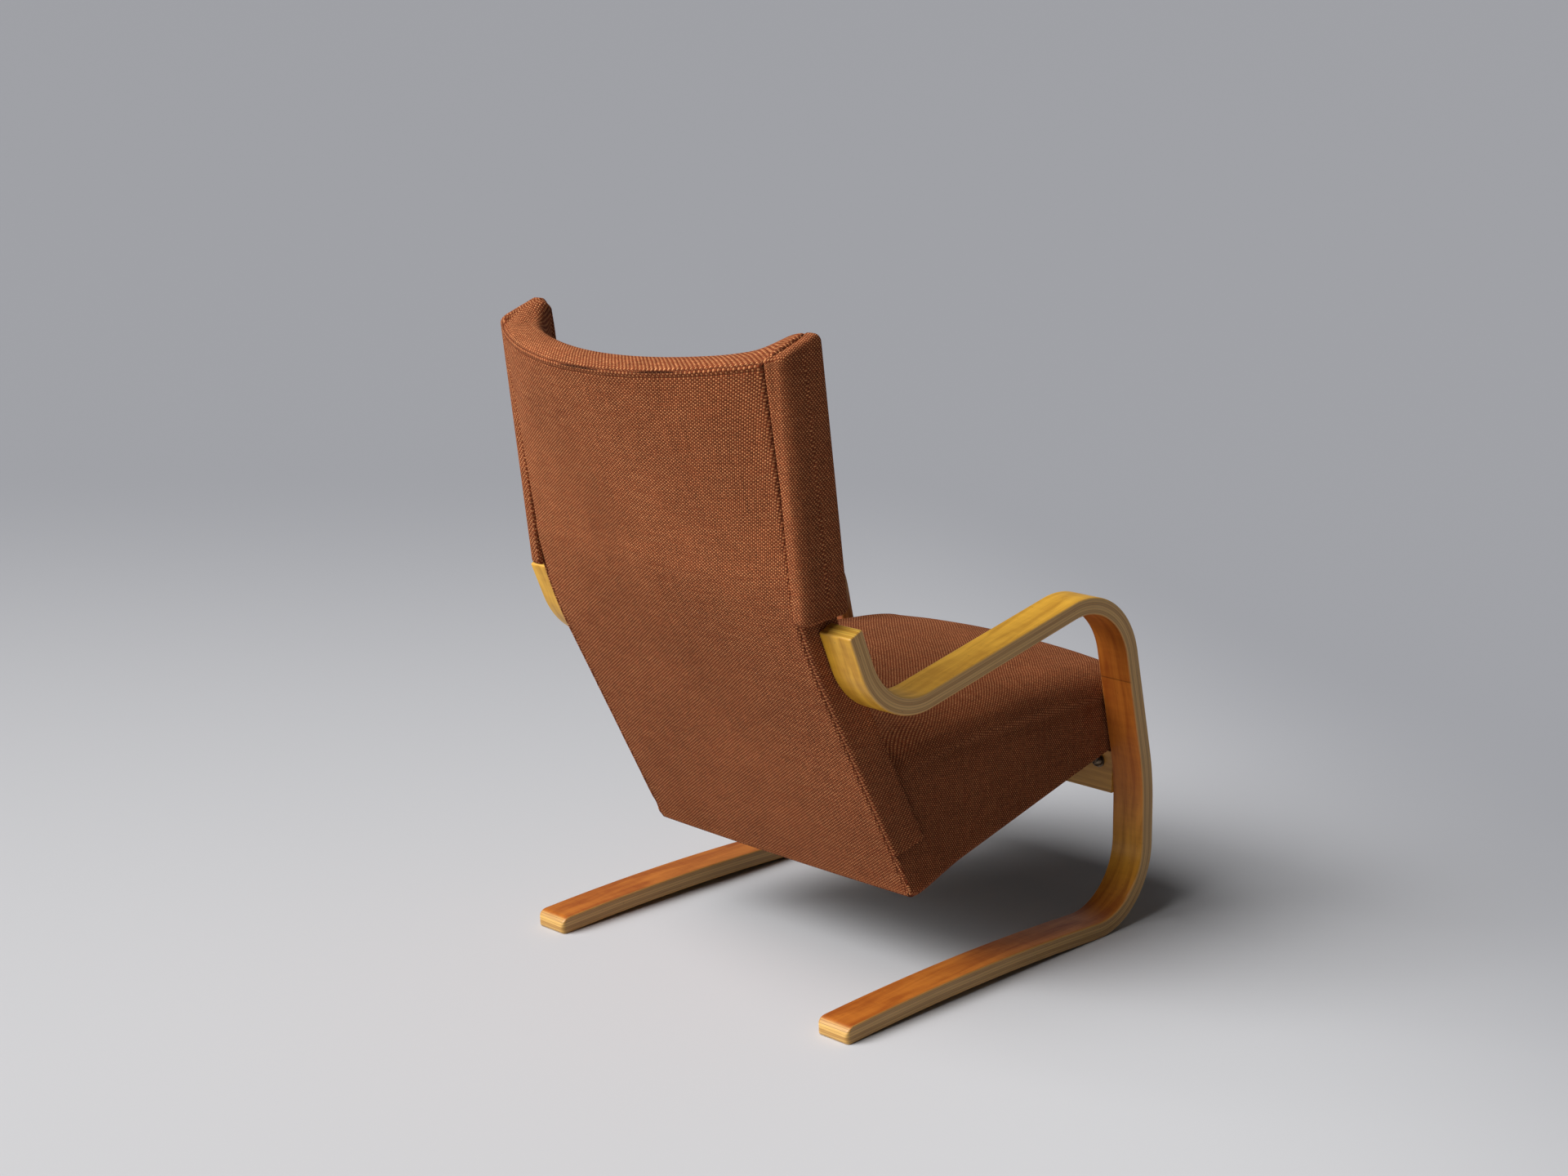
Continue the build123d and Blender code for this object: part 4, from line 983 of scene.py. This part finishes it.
class ARMCHAIR_OT_side_borders(bpy.types.Operator):
    """Boxing strips down the sides of the back, from the wings to their slanting feet"""
    bl_idname = "armchair.side_borders"
    bl_label = "Side borders"

    def execute(self, context):
        # Section of the strip as (x, depth from the back's side seam), tucked in at the rear and the front.
        section = [(236.0, -7.0), (238.4, -4.4), (239.4, -2.2), (240.4, -0.9), (241.6, -0.5), (242.7, -1.4),
                   (243.5, -3.2), (243.9, -6.0), (244.2, -10.0), (244.8, -16.0), (245.4, -23.0),
                   (246.0, -30.0), (246.6, -37.0), (247.1, -44.0), (247.5, -50.0), (247.6, -53.5),
                   (247.2, -55.6), (245.8, -56.8), (243.5, -BORDER_DEEP), (241.0, -56.6), (236.0, -56.0),
                   (230.5, -53.0), (226.0, -48.5), (222.0, -44.0)]
        laid = run_lengths(section)
        rows, cloth, painted_shades = [], [], []
        for share in spread(0.0, 1.0, 84):
            row, flat, dark = [], [], []
            for (x, deep), across in zip(section, laid):
                z = mix(BORDER_HEAD_Z, border_foot(deep), share)
                y = back_line(z) + deep
                pucker = 0.25 * noise.noise((z / 9.0, 7.0, 0.0)) * smooth(-14.0, -2.0, deep)
                row.append((x + 0.3 * noise.noise((y / 45, z / 60, 1.0)), y + pucker, z))
                # Cloth laid along the leaning strip is a seventh longer than the strip is high.
                flat.append((across, z * 1.14))
                # Painted shade: dark along the strip's tucked rear edge, and a contact shadow along its
                # front edge where it stands proud of the seat.
                front_edge_shade = 0.9 * smooth(246.4, 243.6, x) * smooth(-54.0, -56.4, deep)
                dark.append(max(smooth(240.8, 239.0, x), front_edge_shade))
            rows.append(row)
            cloth.append(flat)
            painted_shades.append(dark)
        foot = rows[-1]
        # The foot is turned in under the strip and takes painted shade.
        for drop, inward in [(0.9, 0.5), (1.7, 1.8), (2.0, 4.0), (1.0, 9.0)]:
            rows.append([(max(min(x, 235.0), x - inward), y, z - drop) for x, y, z in foot])
            cloth.append([(u, v - inward) for u, v in cloth[-1]])
            painted_shades.append([0.8 for _ in foot])
        for side, name in SIDES:
            made = cover(context, "back_border_" + name, on_side(rows, side), cloth, ["side_border_" + name],
                         painted_shades=painted_shades, thick=2.0)
            if side > 0:
                made.data.flip_normals()
        return {"FINISHED"}


class ARMCHAIR_OT_seat(bpy.types.Operator):
    """Sprung seat: crowned top, full nose and sides with a soft crease, over an apron"""
    bl_idname = "armchair.seat"
    bl_label = "Seat"

    # Middle line of the seat from the crease at the back, over the crown and round the nose.
    crown = [(128.0, 345.0), (104.0, 357.0), (70.0, 367.0), (30.0, 375.5), (-20.0, 382.5), (-80.0, 387.0),
             (-160.0, 389.0), (-240.0, 387.0), (-310.0, 381.5), (-355.0, 374.5), (-384.0, 366.5),
             (-405.0, 356.0), (-419.0, 342.0), (-427.0, 326.0), (-427.0, 308.0), (-420.0, 290.0),
             (-408.0, 274.0), (-396.0, 262.0), (-390.5, 254.0)]
    # Half widths of the side and of the fuller shoulder, the crease between, and where the shoulder swells.
    side_half = 243.0
    shoulder_half = 245.5
    crease_z = 322.0
    swell_ends = (326.0, 352.0)
    # Shares of a rib at which its side and its shoulder end.
    side_end = 0.45
    shoulder_end = 0.75

    def execute(self, context):
        spine = even_path(self.curve(self.crown), 8.0)[0]
        steps = spread(0.0, self.side_end, 26) + spread(self.side_end, self.shoulder_end, 22)[1:]
        steps += spread(self.shoulder_end, 1.0, 14)[1:]
        rows, cloth = [], []
        for j, (top, run) in enumerate(zip(spine, run_lengths(spine))):
            share = j / (len(spine) - 1)
            rib, flat = self.rib(top, self.edge_at(share), steps, run, share)
            rows.append([(-x, y, z) for x, y, z in rib] + rib[-2::-1])
            cloth.append([(-u, v) for u, v in flat] + flat[-2::-1])
        tuck = [(x - math.copysign(4.6, x) * smooth(200.0, 230.0, abs(x)), y + 0.8, z)
                for x, y, z in rows[0]]
        rows.insert(0, tuck)
        cloth.insert(0, [(u, v - 4.0) for u, v in cloth[0]])
        painted_shades = [[self.shade(*p) for p in row] for row in rows]
        replaced = ["seat_cushion", "seat_side_panel_left", "seat_side_panel_right"]
        cover(context, "seat_cover", rows, cloth, replaced, painted_shades=painted_shades, thick=2.0)
        self.apron(context)
        return {"FINISHED"}

    def shade(self, x, y, z):
        """Painted shade: some on the top, less on the sides, and most in the fold where the side runs in
        under the border strip.
        """
        deep = y - back_line(z)
        ahead = max(0.0, -BORDER_DEEP - deep)
        below = max(0.0, border_foot(max(-BORDER_DEEP, deep)) - z)
        fold = 0.06 + 0.36 * math.exp(-math.hypot(ahead, below) / 12.0)
        return mix(0.13, fold, smooth(225.0, BACK_HALF, abs(x)))

    def curve(self, points):
        """Smooth line through points."""
        made = []
        for i in range(len(points) - 1):
            around = [points[max(0, i - 1)], points[i], points[i + 1], points[min(len(points) - 1, i + 2)]]
            for k in range(8):
                t = k / 8
                made.append(tuple(0.5 * (2 * b + (c - a) * t + (2 * a - 5 * b + 4 * c - d) * t * t
                                         + (3 * b - a - 3 * c + d) * t ** 3) for a, b, c, d in zip(*around)))
        made.append(points[-1])
        return made

    def edge_at(self, share):
        """Point of the lower edge at a share of the spine; the last tenth stays at the front corner."""
        y = mix(80.0, SEAT_FRONT_Y, min(1.0, share / 0.9)) if share < 0.9 else SEAT_FRONT_Y
        wrap = 6.5 * hump(y - 36.0, 28.0)
        return (y, seat_foot(y) - wrap)

    def rib(self, top, low, steps, run, share):
        """Half a rib from the lower edge up the side, round the shoulder and in to the middle."""
        span = math.dist(top, low)
        way = ((top[0] - low[0]) / span, (top[1] - low[1]) / span)
        front = smooth(0.62, 0.95, share)
        radius = min(mix(46.0, 34.0, front), 0.62 * span)
        fall = min(mix(12.0, 7.0, front), 0.15 * span)
        side_long = max(2.0, span - fall - radius)
        swell = self.shoulder_half - self.side_half
        turn_x = self.side_half + swell * smooth(*self.swell_ends, low[1] + way[1] * side_long)
        turn_wide = radius * 1.25
        top_half = turn_x - turn_wide
        rib = []
        for h in steps:
            if h <= self.side_end:
                along = h / self.side_end * side_long
                z = low[1] + way[1] * along
                crease = hump(z - self.crease_z, 9.0) * (1 - 0.85 * front) * smooth(0, 30, side_long)
                x = 242.6 + 0.4 * smooth(0.0, 40.0, along)
                x -= 3.2 * crease
                x += swell * smooth(*self.swell_ends, z)
                x -= 5.0 * math.exp(-along / 2.2)
            elif h < self.shoulder_end:
                a = (h - self.side_end) / (self.shoulder_end - self.side_end) * math.pi / 2
                x = turn_x - turn_wide * (1 - math.cos(a) ** 0.9)
                along = side_long + radius * math.sin(a) ** 0.9
            else:
                x = top_half * (1 - (h - self.shoulder_end) / (1.0 - self.shoulder_end))
                along = side_long + radius + fall * (1 - (x / top_half) ** 2)
            y = low[0] + way[0] * along
            z = low[1] + way[1] * along
            # Near the back the rib is held off the border strip, and its foot slides along the seat's slope.
            limit = back_line(z) - mix(1.2, 48.0, smooth(203.0, 224.0, z))
            follow = smooth(0.16, 0.0, share) * (1 - smooth(0.55, 0.95, h))
            moved = follow * max(0.0, limit - y)
            y += moved
            z -= SEAT_RISE * moved * (1 - smooth(0.0, 40.0, along))
            uneven = noise.noise((x / 70, y / 70, z / 70))
            z += uneven * smooth(0.5, 0.8, h)
            x += uneven * 0.5 * (1 - smooth(0.4, 0.6, h)) * smooth(0.0, 0.06, h)
            rib.append((max(0.0, x), y, z))
        flat = []
        for h, (x, y, z) in zip(steps, rib):
            side = 1 - smooth(self.side_end, self.shoulder_end, h)
            down = (390.0 - z) * mix(1.0, smooth(190.0, 240.0, x), front)
            flat.append((x + down, mix(run - 38.0, 90.0 - y, side)))
        hem = max(0.06, 1 - smooth(0.75, 0.9, share))
        x, y, z = rib[0]
        rib = [(x - 26.0 * hem, y, z + 0.4), (x - 8.0 * hem, y, z + 0.2)] + rib
        return rib, [flat[0], flat[0]] + flat

    def apron(self, context):
        """Lower front band of the seat under the nose, turned round the ends and the foot of its rail."""
        end_x = 240.6
        rear_y = -364.6
        wrap = [(end_x, y) for y in (rear_y, -368.0, -374.0, -380.0)]
        for k in range(7):
            a = math.radians(15 * k)
            wrap.append((end_x - 6.0 + 6.0 * math.cos(a), -385.5 - 6.0 * math.sin(a)))
        plan = [(-x, y) for x, y in wrap] + [(x, -391.5) for x in spread(-226, 226, 40)] + wrap[::-1]
        laid = run_lengths(plan)
        hem = [(198.4, 9.0), (198.4, 4.0), (198.9, 1.5), (200.2, 0.4)]
        rise = [202.0, 206.0] + spread(212, 250, 10) + [255.0, 259.0]
        rows, cloth = [], []
        for z, inset in hem + [(z, 0.0) for z in rise]:
            row = []
            for x, y in plan:
                front = smooth(-386.0, -391.0, y)
                full = smooth(199, 219, z) + 0.8 * smooth(242, 212, abs(x))
                full += 0.4 * noise.noise((x / 60, z / 40, 2.0))
                row.append((x * (1 - inset / end_x), min(rear_y, y - full * front + inset), z))
            rows.append(row)
            cloth.append([(u, z - inset) for u in laid])
        cover(context, "seat_front_apron", rows, cloth, ["seat_apron"], thick=1.5)


class ARMCHAIR_OT_underside(bpy.types.Operator):
    """Lining cloth tacked under the seat, sagging a little between the rails"""
    bl_idname = "armchair.underside"
    bl_label = "Underside cloth"

    def execute(self, context):
        low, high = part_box("underside_cloth")
        half = high.x / MM
        ys = spread(low.y / MM, high.y / MM, 41)
        rows = []
        for y in ys:
            length_share = math.sin((y - ys[0]) / (ys[-1] - ys[0]) * math.pi)
            rows.append([(x, y, seat_foot(y) + 3.0 - 3.0 * (math.cos(x / half * math.pi / 2) * length_share))
                         for x in spread(low.x / MM, half, 41)])
        made = sheet_mesh("underside_lining", rows)
        thicken(made, 0.6)
        lining = plain_weave("black_lining_cotton", "#1E1B19", "#2C2825", 1.6)
        settle(made, lining, ["underside_cloth"])
        return {"FINISHED"}


class ARMCHAIR_OT_fittings(bpy.types.Operator):
    """Wood, steel and webbing finishes of the pieces kept from the solids, and the slotted bolt heads"""
    bl_idname = "armchair.fittings"
    bl_label = "Rails, bolts and straps"

    def execute(self, context):
        steel = dark_steel()
        kinds = {"birch_laminate": plain_timber("birch_rail_lacquered", "#B4782A", "#E6AC4C", 0.38),
                 "frame_timber": plain_timber("pine_frame_raw", "#B48A58", "#D8B988", 0.7),
                 "dark_steel": steel,
                 "jute_webbing": plain_weave("jute_strap", "#8A6A42", "#B8976A", 3.0)}
        slots = {entry["node"]: entry["material_slot"] for entry in frame["record"]["subparts"]}
        for name, obj in frame["nodes"].items():
            if obj.hide_render:
                continue
            if name == "cross_rail":
                ease = obj.modifiers.new("eased edges", "BEVEL")
                ease.width = 2.0 * MM
                ease.segments = 3
            obj.data.materials.clear()
            obj.data.materials.append(kinds[slots[name]])
        self.bolt_heads(steel)
        return {"FINISHED"}

    def bolt_heads(self, steel):
        """Low domes with a screwdriver slot, on the heads of the two seat bolts."""
        low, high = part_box("seat_bolts")
        centre_z = (low.z + high.z) / 2 / MM
        face_y = high.y / MM
        centre_x = 224.0
        radius = 7.3
        for side, name in SIDES:
            rows = []
            for share in (1.0, 0.97, 0.9, 0.8, 0.66, 0.5, 0.36, 0.24, 0.14, 0.05):
                row = []
                for k in range(64):
                    a = 2 * math.pi * k / 64
                    across = radius * share * math.cos(a)
                    up = radius * share * math.sin(a)
                    from_slot = abs(0.8 * across + 0.6 * up)
                    dome = 2.6 * math.sqrt(max(0.0, 1 - share * share)) + 0.2
                    lift = max(0.0, dome - 1.5 * smooth(1.3, 0.8, from_slot))
                    row.append((side * centre_x + across, face_y - 0.2 + lift, centre_z + up))
                rows.append(row)
            made = sheet_mesh("seat_bolt_dome_" + name, rows, ring=True, caps=True)
            outward(made)
            settle(made, steel)


class ARMCHAIR_OT_stage(bpy.types.Operator):
    """Pale seamless floor, soft lights and the camera"""
    bl_idname = "armchair.stage"
    bl_label = "Stage"

    def execute(self, context):
        settings = context.scene.armchair_stage
        scene = context.scene
        scene.view_settings.view_transform = "Standard"
        level = math.cos(settings.elevation)
        back = Vector((math.sin(settings.azimuth) * level, -math.cos(settings.azimuth) * level,
                       math.sin(settings.elevation)))
        camera = bpy.data.cameras.new("camera")
        camera.lens = settings.lens
        camera.sensor_width = 36.0
        seen = bpy.data.objects.new("camera", camera)
        scene.collection.objects.link(seen)
        seen.location = Vector(settings.target) + back * settings.distance
        seen.rotation_mode = "QUATERNION"
        seen.rotation_quaternion = (-back).to_track_quat("-Z", "Y")
        scene.camera = seen
        self.floor(settings, back)
        self.light("key_softbox", Vector((0.25, 0.55, 0.8)), 48.0, settings.key_power)
        self.light("side_softbox", Vector((0.45, 0.86, 0.6)), 35.0, settings.side_power)
        self.light("front_softbox", Vector((0.35, -0.8, 0.5)), 60.0, settings.front_power)
        world = bpy.data.worlds.new("even_light")
        scene.world = world
        world.use_nodes = True
        plug(world.node_tree, world.node_tree.nodes["Background"],
             {"Color": linear("#E6E8EC"), "Strength": settings.fill})
        return {"FINISHED"}

    def floor(self, settings, back):
        """A large painted floor, matt, with painted light: it fades to a darker grey away from the camera's
        place and towards one side, as the light falls off.
        """
        turns = [2 * math.pi * k / 64 for k in range(64)]
        radii = (0.001, 400.0, 900.0, 1600.0, 2600.0, 4200.0, 7000.0, 12000.0, 40000.0, 500000.0)
        rows = [[(radius * math.cos(a), radius * math.sin(a), -0.2) for a in turns] for radius in radii]
        floor = sheet_mesh("floor", rows, ring=True)
        outward(floor)
        material, tree, shader = new_material("painted_floor")
        place = add(tree, "ShaderNodeTexCoord").outputs["Object"]
        away = Vector((-back.x, -back.y, 0)).normalized()
        run = add(tree, "ShaderNodeVectorMath", {0: place, 1: tuple(away)}, operation="DOT_PRODUCT")
        aside = add(tree, "ShaderNodeVectorMath", {0: place, 1: (away.y, -away.x, 0.0)},
                    operation="DOT_PRODUCT")
        # Painted light: the floor darkens towards one side as well, standing in for the light's falloff.
        painted_side_falloff = add(tree, "ShaderNodeMapRange",
                  {"Value": aside.outputs["Value"], "From Min": 0.1, "From Max": 1.5, "To Max": 2.6},
                  interpolation_type="SMOOTHSTEP")
        run = add(tree, "ShaderNodeMath", {0: run.outputs["Value"], 1: painted_side_falloff}, operation="ADD")
        share = add(tree, "ShaderNodeMapRange", {"Value": run, "From Min": -0.9, "From Max": 3.6},
                    interpolation_type="SMOOTHSTEP")
        colour = add(tree, "ShaderNodeMix",
                     {"Factor": share, FIRST: settings.floor_near, SECOND: settings.floor_far},
                     data_type="RGBA")
        # Seen straight or in a gloss the floor is pale; to the light that it throws back it is darker.
        ray = add(tree, "ShaderNodeLightPath").outputs
        seen = add(tree, "ShaderNodeMath", {0: ray["Is Camera Ray"], 1: ray["Is Glossy Ray"]},
                   operation="MAXIMUM")
        seen = add(tree, "ShaderNodeMath", {0: seen, 1: ray["Is Transmission Ray"]}, operation="MAXIMUM")
        thrown = add(tree, "ShaderNodeMapRange", {"Value": seen, "To Min": 0.75, "To Max": 1.0})
        shown = add(tree, "ShaderNodeVectorMath", {0: colour.outputs[MIXED], "Scale": thrown},
                    operation="SCALE")
        plug(tree, shader, {"Base Color": shown, "Roughness": 0.8, "Specular IOR Level": 0.2})
        floor.data.materials.append(material)

    def light(self, name, way, wide_degrees, power):
        """Very large soft light from a direction."""
        lamp = bpy.data.lights.new(name, "SUN")
        lamp.angle = math.radians(wide_degrees)
        lamp.energy = power
        made = bpy.data.objects.new(name, lamp)
        bpy.context.scene.collection.objects.link(made)
        made.location = way * 4.0
        made.rotation_mode = "QUATERNION"
        made.rotation_quaternion = way.to_track_quat("Z", "Y")


class ARMCHAIR_PT_panel(bpy.types.Panel):
    """Lists the chair's settings and the operators that make its pieces"""
    bl_label = "High back armchair"
    bl_idname = "ARMCHAIR_PT_panel"
    bl_space_type = "VIEW_3D"
    bl_region_type = "UI"
    bl_category = "Armchair"

    def draw(self, context):
        column = self.layout.column()
        for group in GROUPS:
            settings = getattr(context.scene, group)
            for key in settings.bl_rna.properties.keys():
                if key not in ("rna_type", "name"):
                    column.prop(settings, key)
        for operator in OPERATORS:
            column.operator(operator.bl_idname)


GROUPS = {"armchair_frame": ARMCHAIR_PG_frame, "armchair_cover": ARMCHAIR_PG_cover,
          "armchair_stage": ARMCHAIR_PG_stage}
OPERATORS = [ARMCHAIR_OT_stage, ARMCHAIR_OT_side_frames, ARMCHAIR_OT_back_cover, ARMCHAIR_OT_inside_back,
             ARMCHAIR_OT_wings, ARMCHAIR_OT_side_borders, ARMCHAIR_OT_seat, ARMCHAIR_OT_underside,
             ARMCHAIR_OT_fittings]
CLASSES = [*GROUPS.values(), *OPERATORS, ARMCHAIR_PT_panel]


def register():
    """Makes the settings, operators and panel known to Blender."""
    for made in CLASSES:
        bpy.utils.register_class(made)
    for key, group in GROUPS.items():
        setattr(bpy.types.Scene, key, PointerProperty(type=group))


def unregister():
    """Takes them away again, in reverse."""
    for key in GROUPS:
        delattr(bpy.types.Scene, key)
    for made in reversed(CLASSES):
        bpy.utils.unregister_class(made)


def main():
    """Makes every piece in order."""
    register()
    for operator in OPERATORS:
        group, name = operator.bl_idname.split(".")
        getattr(getattr(bpy.ops, group), name)()


if __name__ == "__main__":
    main()
